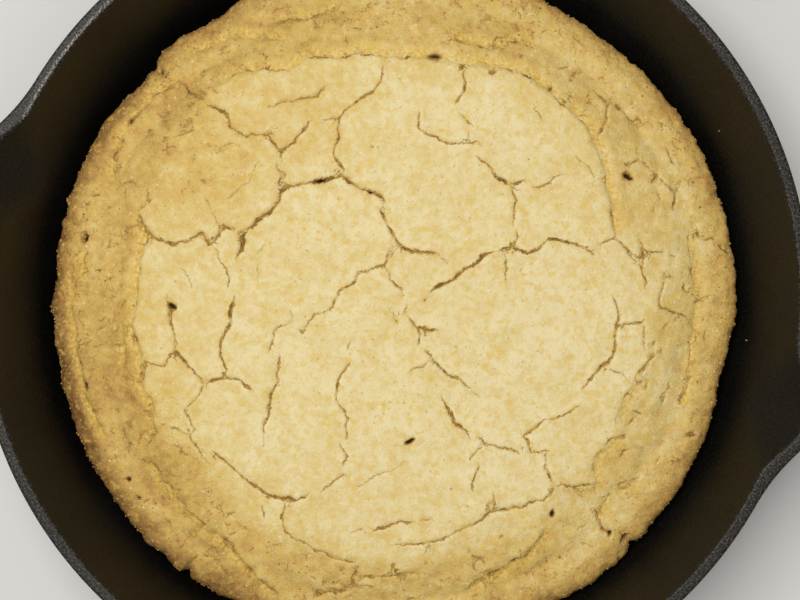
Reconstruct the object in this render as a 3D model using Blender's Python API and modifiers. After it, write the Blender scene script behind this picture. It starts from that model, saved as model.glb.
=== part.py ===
"""Skillet cornbread: a round loaf resting in the cast-iron skillet that it was baked in.

The frame is the skillet's own. The origin is the middle of its flat base, +Z is up, the handle
points along -Y and the two pouring spouts lie near +X and -X. All sizes are in metres.
"""

import math

import bmesh
import bpy

MM = 0.001

# --- driving sizes: the skillet -------------------------------------------------------------
RIM_RADIUS = 0.130        # outside of the wall at the rim
RIM_HEIGHT = 0.051        # base to rim
WALL = 0.0040             # thickness of the wall, measured level
WALL_LEAN = math.radians(21)
FLOOR = 0.0050            # thickness of the floor
FLOOR_FILLET = 0.010      # between floor and wall, inside
BASE_EDGE = 0.006         # rounding of the base, outside
RIM_EDGE = 0.0008         # rounding of the rim's two edges
ROUND_STEPS = 120         # sides of the turned body

SPOUT_FROM_HANDLE = math.radians(91)   # round the rim, on both sides
SPOUT_REACH = 0.0080      # how far the lip stands past the rim's inner circle
SPOUT_DEPTH = 0.019       # how far the hollow runs down the wall
SPOUT_FLARE = 0.78        # slope of the lip's two sides against its width
SPOUT_NOSE = 0.0085       # roundness of the lip's middle

HANDLE_LENGTH = 0.134     # from the rim to the tip
HANDLE_ROOT = 0.112       # where the handle starts, inside the wall, from the pan's axis
HANDLE_ROOT_Z = 0.0385    # middle of the handle at its root
HANDLE_RISE = 0.012       # how much higher its tip is
HANDLE_NECK = 0.024       # narrowest width
HANDLE_END = 0.033        # width near the tip
HANDLE_FLARE = 0.036      # extra width where it meets the wall
HANDLE_THICK = 0.0095
HANDLE_ROOT_THICK = 0.009  # extra thickness where it meets the wall
HANDLE_ROOT_REACH = 0.26  # share of the handle along which both die away
HANDLE_STATIONS = 26
HANDLE_SIDES = 20
HOLE_FROM_TIP = 0.024     # middle of the hanging hole
HOLE_WIDTH = 0.014
HOLE_LENGTH = 0.027

# --- driving sizes: the loaf ----------------------------------------------------------------
REST_GAP = 0.0003         # between the loaf and the floor that it rests on
LOAF_TURN = math.radians(17)   # how the loaf's own axes are turned in the pan
CROWN = 0.0338            # height of the middle of the crust above the skillet's base
DOME = 0.0018             # how much lower the plateau is at its edge
BAND_SLOPE = 0.0045       # how much the outer band falls from the break to the shoulder
EDGE_HEIGHT = 0.0205      # height of the loaf's widest line
SHOULDER = 0.0135         # width of the rounded shoulder
FOOT_INSET = 0.0125       # how much narrower the loaf's underside is
SIDE_TAPER = 0.0030       # the side leans in with the skillet's wall
BREAK_WIDTH = 0.0016      # width of the scarp where the plateau has risen off the outer band
ANGLES = 96

# The loaf's outline: (direction in degrees, radius in mm) of its widest line.
OUTLINE = (
    (0, 112.0), (22, 111.2), (40, 109.8), (55, 108.6), (75, 110.0), (95, 110.4), (113, 109.6),
    (123, 107.8), (130, 109.6), (138, 108.0), (150, 110.2), (170, 110.2), (195, 111.2),
    (215, 112.0), (232, 112.2), (250, 111.6), (270, 111.0), (290, 111.6), (306, 112.8),
    (320, 112.0), (334, 111.0), (348, 109.8),
)
# The plateau's edge: (direction in degrees, radius in mm, drop of the scarp in mm).
BREAK = (
    (0, 80, 0.6), (18, 75, 1.2), (38, 84, 1.3), (55, 83, 1.2), (75, 78, 1.3), (90, 77, 1.1),
    (108, 81, 0.9), (130, 87, 0.8), (150, 87, 1.1), (172, 82.5, 1.7), (195, 83, 1.7),
    (208, 86, 1.4), (222, 79, 1.3), (236, 74, 1.8), (250, 83, 1.5), (268, 83, 0.8),
    (290, 77, 1.1), (310, 81, 1.3), (332, 81, 1.1), (348, 83, 0.7),
)
# The widest cracks: (width in mm, depth in mm, points in mm in the loaf's own axes).
CRACKS = (
    (2.2, 4.2, ((-50, 12), (-46, 23), (-38, 29), (-34, 35), (-20, 38), (-11, 35), (-3, 31))),
    (1.5, 3.4, ((-3, 26), (0, 19), (7, 15), (14, 15))),
    (1.6, 3.4, ((-5, 69), (-12, 63), (-18, 57), (-18, 46), (-15, 40))),
    (1.5, 3.2, ((-67, 70), (-60, 62), (-53, 59), (-48, 52), (-40, 53), (-35, 46), (-26, 57))),
    (1.6, 3.2, ((-80, 24), (-71, 17), (-62, 20), (-57, 17))),
    (1.6, 3.2, ((-50, 1), (-54, -14), (-54, -25), (-45, -30))),
    (1.8, 3.6, ((-72, 0), (-70, -15), (-60, -28), (-54, -25))),
    (1.5, 3.2, ((-36, -18), (-36, -28), (-40, -38), (-41, -43))),
    (1.5, 3.2, ((4, -5), (9, -9), (11, -20), (25, -28))),
    (1.8, 3.6, ((16, -31), (25, -45), (31, -47), (39, -50))),
    (1.8, 3.4, ((12, 3), (25, 11), (36, 15), (50, 19), (65, 14))),
    (1.6, 3.2, ((26, 46), (38, 36), (38, 23))),
    (1.6, 3.2, ((72, -4), (71, -18), (60, -30))),
    (1.6, 3.4, ((50, -52), (52, -60), (46, -67), (33, -68), (20, -75), (10, -79))),
)


def remove_everything():
    for old in list(bpy.data.objects):
        bpy.data.objects.remove(old)


def collection(name, rendered=True):
    made = bpy.data.collections.new(name)
    made.hide_render = not rendered
    bpy.context.scene.collection.children.link(made)
    return made


def material(name, colour, roughness, metallic=0.0):
    made = bpy.data.materials.new(name)
    made.use_nodes = True
    shader = made.node_tree.nodes["Principled BSDF"]
    shader.inputs["Base Color"].default_value = (*colour, 1.0)
    shader.inputs["Roughness"].default_value = roughness
    shader.inputs["Metallic"].default_value = metallic
    return made


def add_mesh(name, points, faces, group):
    mesh = bpy.data.meshes.new(name)
    mesh.from_pydata(points, [], faces)
    mesh.update()
    made = bpy.data.objects.new(name, mesh)
    group.objects.link(made)
    return made


def as_mesh(source, name, group):
    """The evaluated shape of an object with modifiers or of a curve, as a plain mesh object in its place."""
    bpy.context.view_layer.update()
    graph = bpy.context.evaluated_depsgraph_get()
    mesh = bpy.data.meshes.new_from_object(source.evaluated_get(graph))
    made = bpy.data.objects.new(name, mesh)
    made.matrix_world = source.matrix_world
    group.objects.link(made)
    bpy.data.objects.remove(source)
    shape = bmesh.new()
    shape.from_mesh(mesh)
    bmesh.ops.remove_doubles(shape, verts=shape.verts, dist=1e-6)
    shape.to_mesh(mesh)
    shape.free()
    return made


def boolean(target, operation, other):
    modifier = target.modifiers.new(operation.lower(), "BOOLEAN")
    modifier.operation = operation
    modifier.solver = "EXACT"
    if isinstance(other, bpy.types.Collection):
        modifier.operand_type = "COLLECTION"
        modifier.collection = other
    else:
        modifier.object = other


def as_cutter(tool):
    tool.hide_render = True
    tool.display_type = "WIRE"
    return tool


def arc(centre, radius, first, last, steps):
    """Points (radius, height) along an arc, its ends given in degrees from +X towards +Z."""
    turns = [math.radians(first + (last - first) * i / steps) for i in range(steps + 1)]
    return [(centre[0] + radius * math.cos(t), centre[1] + radius * math.sin(t)) for t in turns]


def eased(t):
    """0 to 1 along a smooth step."""
    t = min(max(t, 0.0), 1.0)
    return t * t * (3 - 2 * t)


def around(table, degrees, column):
    """The value of one column at a direction, eased between the rows of a table that goes once round."""
    degrees %= 360
    for row, following in zip(table, table[1:] + ((table[0][0] + 360, *table[0][1:]),)):
        if row[0] <= degrees < following[0]:
            share = eased((degrees - row[0]) / (following[0] - row[0]))
            return row[column] + (following[column] - row[column]) * share
    return table[0][column]


# --- the skillet ----------------------------------------------------------------------------

def wall_radius(height, inside):
    """Radius of the wall's inner or outer face at a height."""
    return RIM_RADIUS - (RIM_HEIGHT - height) * math.tan(WALL_LEAN) - (WALL if inside else 0.0)


def skillet_profile():
    """The shell's section from the middle of the floor, up inside, over the rim and down outside."""
    lean = math.degrees(WALL_LEAN)
    slant = 1 / math.cos(WALL_LEAN)
    fillet_z = FLOOR + FLOOR_FILLET
    fillet = (wall_radius(fillet_z, True) - FLOOR_FILLET * slant, fillet_z)
    edge_z = RIM_HEIGHT - RIM_EDGE
    inner_edge = (wall_radius(edge_z, True) + RIM_EDGE * slant, edge_z)
    outer_edge = (wall_radius(edge_z, False) - RIM_EDGE * slant, edge_z)
    base = (wall_radius(BASE_EDGE, False) - BASE_EDGE * slant, BASE_EDGE)
    upper_wall = [
        (wall_radius(RIM_HEIGHT - SPOUT_DEPTH * share, True), RIM_HEIGHT - SPOUT_DEPTH * share)
        for share in (1.05, 0.7, 0.35)
    ]
    return [
        (0.0, FLOOR),
        *arc(fillet, FLOOR_FILLET, -90, -lean, 4),
        *upper_wall,
        *arc(inner_edge, RIM_EDGE, 180 - lean, 90, 2),
        *arc(outer_edge, RIM_EDGE, 90, -lean, 2),
        *[(wall_radius(z, False), z) for r, z in reversed(upper_wall)],
        *arc(base, BASE_EDGE, -lean, -90, 3),
        (0.0, 0.0),
    ]


def rounded_max(a, b, blend):
    """The larger of two lengths, eased where they are nearer than blend."""
    near = max(blend - abs(a - b), 0.0) / blend
    return max(a, b) + near * near * blend / 4


def spout_surface(across, below, through):
    """Distance of the spout's face from the pan's axis, across mm from its middle and below the rim.

    through is 0 on the inside face and 1 on the outside one.
    """
    inner_rim = wall_radius(RIM_HEIGHT, True)
    fall = math.tan(WALL_LEAN) + SPOUT_REACH / SPOUT_DEPTH
    lip = inner_rim + SPOUT_REACH - below * fall
    lip -= SPOUT_FLARE * (math.hypot(across, SPOUT_NOSE) - SPOUT_NOSE)
    return lip + through * WALL * math.hypot(1, SPOUT_FLARE)


def pull_spouts(mesh):
    """Moves the upper wall out to the two spouts."""
    for sign in (1, -1):
        direction = -math.pi / 2 + sign * SPOUT_FROM_HANDLE
        ux, uy = math.cos(direction), math.sin(direction)
        for vertex in mesh.vertices:
            x, y, z = vertex.co
            along, across = x * ux + y * uy, y * ux - x * uy
            if along < RIM_RADIUS / 2 or z < FLOOR + FLOOR_FILLET:
                continue
            through = (math.hypot(x, y) - wall_radius(z, True)) / WALL
            through = min(max(through, 0.0), 1.0)
            face = spout_surface(across, RIM_HEIGHT - z, through)
            moved = rounded_max(along, face, 0.002 + 0.004 * through)
            vertex.co = (ux * moved - uy * across, uy * moved + ux * across, z)


def skillet_body(group):
    points = [(r, 0.0, z) for r, z in skillet_profile()]
    edges = [(i, i + 1) for i in range(len(points) - 1)]
    mesh = bpy.data.meshes.new("skillet_section")
    mesh.from_pydata(points, edges, [])
    section = bpy.data.objects.new("skillet_section", mesh)
    group.objects.link(section)
    screw = section.modifiers.new("turned", "SCREW")
    screw.steps = screw.render_steps = ROUND_STEPS
    screw.use_merge_vertices = True
    screw.merge_threshold = 0.0001
    body = as_mesh(section, "skillet", group)
    pull_spouts(body.data)
    return body


def handle_section(share):
    """(distance from the pan's axis, width, thickness, height of its middle) at a share of the handle."""
    tip = RIM_RADIUS + HANDLE_LENGTH
    out = HANDLE_ROOT + (tip - HANDLE_ROOT) * share
    free = (out - RIM_RADIUS) / HANDLE_LENGTH
    root = max(1 - max(free, 0.0) / HANDLE_ROOT_REACH, 0.0) ** 2.4
    width = HANDLE_NECK + (HANDLE_END - HANDLE_NECK) * eased((free - 0.2) / 0.6)
    end_radius = HANDLE_END / 2
    past = max(out - (tip - end_radius), 0.0) / end_radius
    closing = math.sqrt(max(1 - past * past, 0.0))
    width = (width + HANDLE_FLARE * root) * closing
    thick = (HANDLE_THICK + HANDLE_ROOT_THICK * root) * (0.55 + 0.45 * math.sqrt(closing))
    middle = HANDLE_ROOT_Z + HANDLE_RISE * eased(free) - HANDLE_ROOT_THICK * root / 4
    return out, width, thick, middle


def handle_tool(group):
    """A loft of rounded oblong sections along -Y, closed at both ends."""
    points, faces = [], []
    for i in range(HANDLE_STATIONS):
        share = math.sin(math.pi / 2 * i / (HANDLE_STATIONS - 1)) ** 0.9
        out, width, thick, middle = handle_section(min(share, 0.9992))
        for k in range(HANDLE_SIDES):
            turn = 2 * math.pi * k / HANDLE_SIDES
            c, s = math.cos(turn), math.sin(turn)
            x = width / 2 * math.copysign(abs(c) ** 0.75, c)
            z = middle + thick / 2 * math.copysign(abs(s) ** 0.75, s)
            points.append((x, -out, z))
    for i in range(HANDLE_STATIONS - 1):
        for k in range(HANDLE_SIDES):
            a, b = i * HANDLE_SIDES + k, i * HANDLE_SIDES + (k + 1) % HANDLE_SIDES
            faces.append((a, b, b + HANDLE_SIDES, a + HANDLE_SIDES))
    faces.append(tuple(range(HANDLE_SIDES))[::-1])
    last = (HANDLE_STATIONS - 1) * HANDLE_SIDES
    faces.append(tuple(range(last, last + HANDLE_SIDES)))
    return as_cutter(add_mesh("handle_loft", points, faces, group))


def hole_tool(group):
    """A teardrop prism, rounder towards the tip, through the handle."""
    shape = bmesh.new()
    bmesh.ops.create_cone(shape, cap_ends=True, segments=32, radius1=0.5, radius2=0.5, depth=0.06)
    for vertex in shape.verts:
        narrow = 1 - 0.42 * eased(vertex.co.y + 0.5)
        vertex.co.x *= HOLE_WIDTH * narrow
        vertex.co.y *= HOLE_LENGTH
    mesh = bpy.data.meshes.new("hanging_hole")
    shape.to_mesh(mesh)
    shape.free()
    tool = bpy.data.objects.new("hanging_hole", mesh)
    tool.location = (0, -(RIM_RADIUS + HANDLE_LENGTH - HOLE_FROM_TIP), HANDLE_ROOT_Z + HANDLE_RISE)
    group.objects.link(tool)
    return as_cutter(tool)


def core_tool(group):
    """A solid cone up the middle of the wall, which trims the handle's root out of the pan."""
    bottom, top = -0.02, 0.10
    mid = WALL / 2
    bpy.ops.mesh.primitive_cone_add(
        vertices=ROUND_STEPS,
        radius1=wall_radius(bottom, False) - mid,
        radius2=wall_radius(top, False) - mid,
        depth=top - bottom,
        location=(0, 0, (top + bottom) / 2),
    )
    core = bpy.context.object
    core.name = "wall_core"
    for other in core.users_collection:
        other.objects.unlink(core)
    group.objects.link(core)
    return as_cutter(core)


def skillet(group, cutters):
    body = skillet_body(group)
    handle = handle_tool(cutters)
    boolean(handle, "DIFFERENCE", core_tool(cutters))
    boolean(body, "UNION", handle)
    boolean(body, "DIFFERENCE", hole_tool(cutters))
    body.data.materials.clear()
    body.data.materials.append(material("seasoned_cast_iron", (0.012, 0.010, 0.008), 0.5, 0.4))
    body.data.set_sharp_from_angle(angle=math.radians(40))
    return body


# --- the loaf -------------------------------------------------------------------------------

def swell(x, y):
    """Slow rise and fall of the crust."""
    return 0.0005 * math.sin(x / 0.029 + 0.8) * math.cos(y / 0.034 - 0.5)


def crust_height(x, y):
    """Height of the plateau's surface."""
    spread = (math.hypot(x, y) / (80 * MM)) ** 2
    return CROWN - DOME * spread + swell(x, y)


def loaf_profile(degrees):
    """(radius, height) from beside the crown, over the break, band and shoulder, down to the underside."""
    turn = math.radians(degrees)
    edge = around(OUTLINE, degrees, 1) * MM
    cliff = around(BREAK, degrees, 1) * MM
    drop = around(BREAK, degrees, 2) * MM
    inner, outer = cliff - BREAK_WIDTH / 2, cliff + BREAK_WIDTH / 2
    shoulder = edge - SHOULDER
    points = [(inner * share, None) for share in (0.22, 0.44, 0.64, 0.82, 0.93)] + [(inner, None)]
    points = [
        (r, crust_height(r * math.cos(turn), r * math.sin(turn))) for r, _ in points
    ]
    ledge = points[-1][1] - drop
    for share in (0.0, 0.3, 0.65, 1.0):
        points.append((outer + (shoulder - outer) * share, ledge - BAND_SLOPE * share ** 1.6))
    low = points[-1][1]
    for step in (22, 44, 66, 90):
        c, s = math.cos(math.radians(step)), math.sin(math.radians(step))
        points.append((shoulder + SHOULDER * s, EDGE_HEIGHT + (low - EDGE_HEIGHT) * c ** 0.8))
    floor = FLOOR + REST_GAP
    points.append((edge - SIDE_TAPER, floor + 0.0065))
    points.append((edge - SIDE_TAPER - 0.0035, floor + 0.0022))
    points.append((edge - FOOT_INSET, floor))
    return points


def crack_tool(index, width, depth, route, group):
    """A blade along a crack's route: a diamond-section wire, tall and thin, tapered at both ends."""
    stretch = 2 * depth / width
    curve = bpy.data.curves.new(f"crack_{index:02d}", "CURVE")
    curve.dimensions = "3D"
    curve.twist_mode = "Z_UP"
    curve.bevel_depth = width * MM / 2
    curve.bevel_resolution = 0
    curve.use_fill_caps = True
    spline = curve.splines.new("POLY")
    spline.points.add(len(route) - 1)
    for point, (x, y) in zip(spline.points, route):
        x, y = x * MM, y * MM
        point.co = (x, y, crust_height(x, y) / stretch, 1)
        point.radius = 1.0
    spline.points[0].radius = spline.points[-1].radius = 0.3
    source = bpy.data.objects.new(curve.name, curve)
    source.scale.z = stretch
    group.objects.link(source)
    blade = as_mesh(source, f"crack_blade_{index:02d}", group)
    blade.rotation_euler.z = LOAF_TURN
    return as_cutter(blade)


def loaf(group, cutters):
    rows = [loaf_profile(360 * k / ANGLES) for k in range(ANGLES)]
    count = len(rows[0])
    points = []
    for k, row in enumerate(rows):
        turn = 2 * math.pi * k / ANGLES
        points += [(r * math.cos(turn), r * math.sin(turn), z) for r, z in row]
    crown = len(points)
    points.append((0, 0, crust_height(0, 0)))
    faces = []
    for k in range(ANGLES):
        a, b = k * count, (k + 1) % ANGLES * count
        faces.append((crown, a, b))
        faces += [(a + i, a + i + 1, b + i + 1, b + i) for i in range(count - 1)]
    faces.append(tuple(k * count + count - 1 for k in reversed(range(ANGLES))))
    made = add_mesh("cornbread", points, faces, group)
    made.rotation_euler.z = LOAF_TURN
    for index, (width, depth, route) in enumerate(CRACKS):
        crack_tool(index, width, depth, route, cutters)
    boolean(made, "DIFFERENCE", cutters)
    made.data.materials.append(material("baked_cornmeal_crust", (0.72, 0.56, 0.23), 0.75))
    made.data.shade_smooth()
    made.data.set_sharp_from_angle(angle=math.radians(35))
    return made


def main():
    remove_everything()
    parts = collection("skillet_cornbread")
    skillet(parts, collection("skillet_cutters", rendered=False))
    loaf(parts, collection("crack_cutters", rendered=False))


main()
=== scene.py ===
"""Skillet cornbread: the looks of the loaf and of the cast-iron skillet around it."""

import math

import bmesh
import bpy
import numpy as np
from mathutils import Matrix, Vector


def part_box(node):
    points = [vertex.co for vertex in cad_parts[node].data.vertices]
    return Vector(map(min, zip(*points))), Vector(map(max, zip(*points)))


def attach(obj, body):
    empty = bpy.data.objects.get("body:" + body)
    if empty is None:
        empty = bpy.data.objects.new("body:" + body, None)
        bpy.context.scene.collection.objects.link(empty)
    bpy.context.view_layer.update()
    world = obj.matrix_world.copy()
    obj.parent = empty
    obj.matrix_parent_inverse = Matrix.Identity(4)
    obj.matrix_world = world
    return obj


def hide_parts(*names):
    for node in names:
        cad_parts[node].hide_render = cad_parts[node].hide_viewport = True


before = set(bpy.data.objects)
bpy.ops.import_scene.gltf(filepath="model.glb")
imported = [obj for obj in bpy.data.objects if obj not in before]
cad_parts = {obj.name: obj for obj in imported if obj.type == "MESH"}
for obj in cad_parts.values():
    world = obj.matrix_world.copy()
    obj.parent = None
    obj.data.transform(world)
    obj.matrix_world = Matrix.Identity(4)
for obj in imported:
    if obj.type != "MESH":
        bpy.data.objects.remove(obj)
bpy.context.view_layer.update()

MM = 0.001

# --- the skillet: body -----------------------------------------------------------------------
# One sand casting of grey iron: a flat floor, a leaning wall with a flat rim, and two small
# pouring lips pulled out of it. The oil baked on over years makes it brown-black.

skillet_low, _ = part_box("skillet")
RIM_RADIUS = 130 * MM
RIM_HEIGHT = 51 * MM
WALL = 4 * MM
WALL_LEAN = math.tan(math.radians(21))
FLOOR = 5 * MM
FLOOR_FILLET = 10 * MM
BASE_EDGE = 6 * MM
RIM_EDGE = 0.9 * MM
SPOUT_AXIS = math.radians(1)      # both lips stand this much further from the handle than +X and -X
SPOUT_REACH = 8 * MM
SPOUT_DEPTH = 19 * MM
SPOUT_FLARE = 0.78
SPOUT_NOSE = 8.5 * MM
SPOUT_BLEND = (2 * MM, 6 * MM)    # how softly a lip leaves the wall, inside and outside


def lattice_noise(x, y, size, seed):
    """Noise from -1 to 1: a random value at each corner of a square lattice, blended between them
    by 3t^2 - 2t^3. The lattice is turned by a seeded angle."""
    random = np.random.default_rng(seed)
    table = random.uniform(-1, 1, (256, 256))
    turn = random.uniform(0, math.pi)
    u = (x * math.cos(turn) - y * math.sin(turn)) / size + 1000.5
    v = (x * math.sin(turn) + y * math.cos(turn)) / size + 1000.5
    i, j = np.floor(u).astype(int), np.floor(v).astype(int)
    s, t = u - i, v - j
    s, t = s * s * (3 - 2 * s), t * t * (3 - 2 * t)
    i, j, right, up = i % 256, j % 256, (i + 1) % 256, (j + 1) % 256
    near = table[i, j] * (1 - s) + table[right, j] * s
    far = table[i, up] * (1 - s) + table[right, up] * s
    return near * (1 - t) + far * t


def rough_noise(x, y, size, seed, octaves=3, keep=0.5):
    """A sum of lattice noises, each half as wide as the last and keep times as high."""
    total, weight = 0.0, 0.0
    for octave in range(octaves):
        total = total + keep ** octave * lattice_noise(x, y, size / 2 ** octave, seed + octave)
        weight += keep ** octave
    return total / weight


def ease(t):
    """0 to 1 along 3t^2 - 2t^3."""
    t = np.clip(t, 0, 1)
    return t * t * (3 - 2 * t)


def closed_mesh(name, grid):
    """A closed mesh from a grid (rows, columns, xyz): the columns go once round, and the first and
    last row are closed by a fan to their middle."""
    rows, columns = grid.shape[:2]
    points = np.concatenate([grid.reshape(-1, 3), [grid[0].mean(0)], [grid[-1].mean(0)]])
    r, c = np.meshgrid(np.arange(rows - 1), np.arange(columns), indexing="ij")
    a, b = r * columns + c, r * columns + (c + 1) % columns
    quads = np.stack([a, b, b + columns, a + columns], -1).reshape(-1, 4)
    ring = np.arange(columns)
    after = (ring + 1) % columns
    last = (rows - 1) * columns
    top = np.stack([after, ring, np.full(columns, rows * columns)], -1)
    bottom = np.stack([ring + last, after + last, np.full(columns, rows * columns + 1)], -1)
    mesh = bpy.data.meshes.new(name)
    mesh.from_pydata(points.tolist(), [], quads.tolist() + top.tolist() + bottom.tolist())
    return mesh


def face_outwards(mesh):
    """Turns every face of a closed mesh outwards."""
    shape = bmesh.new()
    shape.from_mesh(mesh)
    bmesh.ops.recalc_face_normals(shape, faces=shape.faces)
    shape.to_mesh(mesh)
    shape.free()


def show(name, data):
    """A new object in the scene for a mesh, a light or a camera."""
    made = bpy.data.objects.new(name, data)
    bpy.context.scene.collection.objects.link(made)
    return made


def closed_object(name, grid):
    """A closed mesh from a grid, facing outwards, as an object."""
    mesh = closed_mesh(name, grid)
    face_outwards(mesh)
    return show(name, mesh)


def around_axis(radius, turn, height):
    """Points at a radius, a direction in radians and a height."""
    return np.stack(np.broadcast_arrays(radius * np.cos(turn), radius * np.sin(turn), height), -1)


def wall_radius(height, inside):
    """The wall's radius at a height: the rim's radius less the lean, and less the wall inside."""
    return RIM_RADIUS - (RIM_HEIGHT - height) * WALL_LEAN - (WALL if inside else 0.0)


def quarter(centre, radius, first, last, steps):
    """Points (radius, height) along an arc between two angles in degrees."""
    turn = np.radians(np.linspace(first, last, steps))
    return np.stack([centre[0] + radius * np.cos(turn), centre[1] + radius * np.sin(turn)], -1)


def straight(first, last, steps):
    """Points between two points, without the two themselves."""
    return np.linspace(first, last, steps + 2)[1:-1]


def skillet_section():
    """The section of the casting from the middle of the floor over the rim to the middle of the base."""
    lean = math.degrees(math.atan(WALL_LEAN))
    slant = math.hypot(1, WALL_LEAN)
    fillet_z = FLOOR + FLOOR_FILLET
    fillet_r = wall_radius(fillet_z, True) - FLOOR_FILLET * slant
    fillet = quarter((fillet_r, fillet_z), FLOOR_FILLET, -90, -lean, 12)
    edge_z = RIM_HEIGHT - RIM_EDGE
    inner = quarter((wall_radius(edge_z, True) + RIM_EDGE * slant, edge_z), RIM_EDGE, 180 - lean, 90, 6)
    outer = quarter((wall_radius(edge_z, False) - RIM_EDGE * slant, edge_z), RIM_EDGE, 90, -lean, 6)
    base = quarter((wall_radius(BASE_EDGE, False) - BASE_EDGE * slant, BASE_EDGE), BASE_EDGE, -lean, -90, 9)
    return np.concatenate([
        straight((0, FLOOR), fillet[0], 12),
        fillet,
        straight(fillet[-1], inner[0], 34),
        inner,
        straight(inner[-1], outer[0], 3),
        outer,
        straight(outer[-1], base[0], 34),
        base,
        straight(base[-1], (0, 0), 12),
    ])


def pull_spouts(points):
    """Moves the upper wall out to the lips. A lip's face stands SPOUT_REACH past the rim, falls away
    below and to both sides, and takes over from the wall by an eased maximum."""
    x, y, z = points[..., 0], points[..., 1], points[..., 2]
    for middle in (SPOUT_AXIS, math.pi - SPOUT_AXIS):
        ux, uy = math.cos(middle), math.sin(middle)
        along, across = x * ux + y * uy, y * ux - x * uy
        through = np.clip((np.hypot(x, y) - wall_radius(z, True)) / WALL, 0, 1)
        below = RIM_HEIGHT - z
        face = wall_radius(RIM_HEIGHT, True) + SPOUT_REACH - below * (WALL_LEAN + SPOUT_REACH / SPOUT_DEPTH)
        face = face - SPOUT_FLARE * (np.hypot(across, SPOUT_NOSE) - SPOUT_NOSE)
        face = face + through * WALL * math.hypot(1, SPOUT_FLARE)
        soft = SPOUT_BLEND[0] + (SPOUT_BLEND[1] - SPOUT_BLEND[0]) * through
        near = np.maximum(soft - np.abs(along - face), 0) / soft
        moved = np.maximum(along, face) + near * near * soft / 4
        change = np.where((along > RIM_RADIUS / 2) & (z > FLOOR + FLOOR_FILLET), moved - along, 0)
        x, y = x + ux * change, y + uy * change
    return np.stack([x, y, z], -1)


BODY_COLUMNS = 480
section = skillet_section()
round_turn = np.linspace(0, 2 * math.pi, BODY_COLUMNS, endpoint=False)
body_grid = around_axis(section[:, :1], round_turn, section[:, 1:])
skillet = closed_object("skillet_casting", pull_spouts(body_grid))

# --- the skillet: handle ---------------------------------------------------------------------
# Cast in one with the pan: a flattened bar that flares into the wall, narrows to a neck and ends
# in a round tip with a teardrop hole for hanging.

HANDLE_LENGTH = -skillet_low[1] - RIM_RADIUS
HANDLE_START = 112 * MM
HANDLE_Z = 38.5 * MM
HANDLE_RISE = 12 * MM
HANDLE_NECK, HANDLE_END, HANDLE_FLARE = 24 * MM, 33 * MM, 36 * MM
HANDLE_THICK, HANDLE_ROOT_THICK = 9.5 * MM, 9 * MM
HANDLE_ROOT_REACH = 0.26
HANDLE_SECTION = 0.75             # the superellipse's exponent: 1 is an ellipse, 0 a rectangle
HOLE_FROM_TIP, HOLE_WIDTH, HOLE_LENGTH, HOLE_ROUND = 24 * MM, 14 * MM, 27 * MM, 2 * MM


def handle_grid(stations=120, sides=72):
    """A superellipse carried along -Y. Its width is neck to end, eased, plus a flare at the root, and
    closes at the tip as a half circle."""
    tip = RIM_RADIUS + HANDLE_LENGTH
    share = np.sin(np.linspace(0, math.pi / 2, stations)) ** 0.9
    out = HANDLE_START + (tip - HANDLE_START) * np.minimum(share, 0.9998)
    free = (out - RIM_RADIUS) / HANDLE_LENGTH
    root = np.maximum(1 - np.maximum(free, 0) / HANDLE_ROOT_REACH, 0) ** 2.4
    past = np.maximum(out - (tip - HANDLE_END / 2), 0) / (HANDLE_END / 2)
    closing = np.sqrt(np.maximum(1 - past ** 2, 0))
    width = HANDLE_NECK + (HANDLE_END - HANDLE_NECK) * ease((free - 0.2) / 0.6)
    width = (width + HANDLE_FLARE * root) * closing
    thick = (HANDLE_THICK + HANDLE_ROOT_THICK * root) * (0.55 + 0.45 * np.sqrt(closing))
    middle = HANDLE_Z + HANDLE_RISE * ease(free) - HANDLE_ROOT_THICK * root / 4
    turn = np.linspace(0, 2 * math.pi, sides, endpoint=False)
    across = np.sign(np.cos(turn)) * np.abs(np.cos(turn)) ** HANDLE_SECTION
    up = np.sign(np.sin(turn)) * np.abs(np.sin(turn)) ** HANDLE_SECTION
    return np.stack([
        width[:, None] / 2 * across,
        np.repeat(-out[:, None], sides, 1),
        middle[:, None] + thick[:, None] / 2 * up,
    ], -1)


def hole_grid(levels=25, sides=64):
    """A teardrop carried up through the handle. It widens towards both faces as a quarter round."""
    turn = np.linspace(0, 2 * math.pi, sides, endpoint=False)
    level = np.linspace(-1, 1, levels) * HANDLE_THICK * 0.9
    inside = HANDLE_THICK / 2 * 0.94 - HOLE_ROUND
    flare = HOLE_ROUND - np.sqrt(HOLE_ROUND ** 2 - np.clip(np.abs(level) - inside, 0, HOLE_ROUND * 0.98) ** 2)
    narrow = 1 - 0.42 * ease(0.5 + 0.5 * np.sin(turn))
    x = (HOLE_WIDTH / 2 * narrow) * np.cos(turn) * (1 + flare[:, None] / (HOLE_WIDTH / 2))
    y = HOLE_LENGTH / 2 * np.sin(turn) * (1 + flare[:, None] / (HOLE_LENGTH / 2))
    y = y - (RIM_RADIUS + HANDLE_LENGTH - HOLE_FROM_TIP)
    z = np.repeat((HANDLE_Z + HANDLE_RISE + level)[:, None], sides, 1)
    return np.stack([x, y, z], -1)


def wall_core_grid(sides=240):
    """A cone up the middle of the wall, which trims the handle's root out of the pan."""
    turn = np.linspace(0, 2 * math.pi, sides, endpoint=False)
    height = np.array([[-20], [100]]) * MM
    return around_axis(wall_radius(height, False) - WALL / 2, turn, height)


def combine(target, operation, other):
    """Joins or cuts the target with another closed object, which is used up."""
    modifier = target.modifiers.new("combine", "BOOLEAN")
    modifier.operation, modifier.solver, modifier.object = operation, "EXACT", other
    bpy.context.view_layer.update()
    solved = bpy.data.meshes.new_from_object(target.evaluated_get(bpy.context.evaluated_depsgraph_get()))
    target.modifiers.clear()
    target.data = solved
    bpy.data.objects.remove(other)


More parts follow.
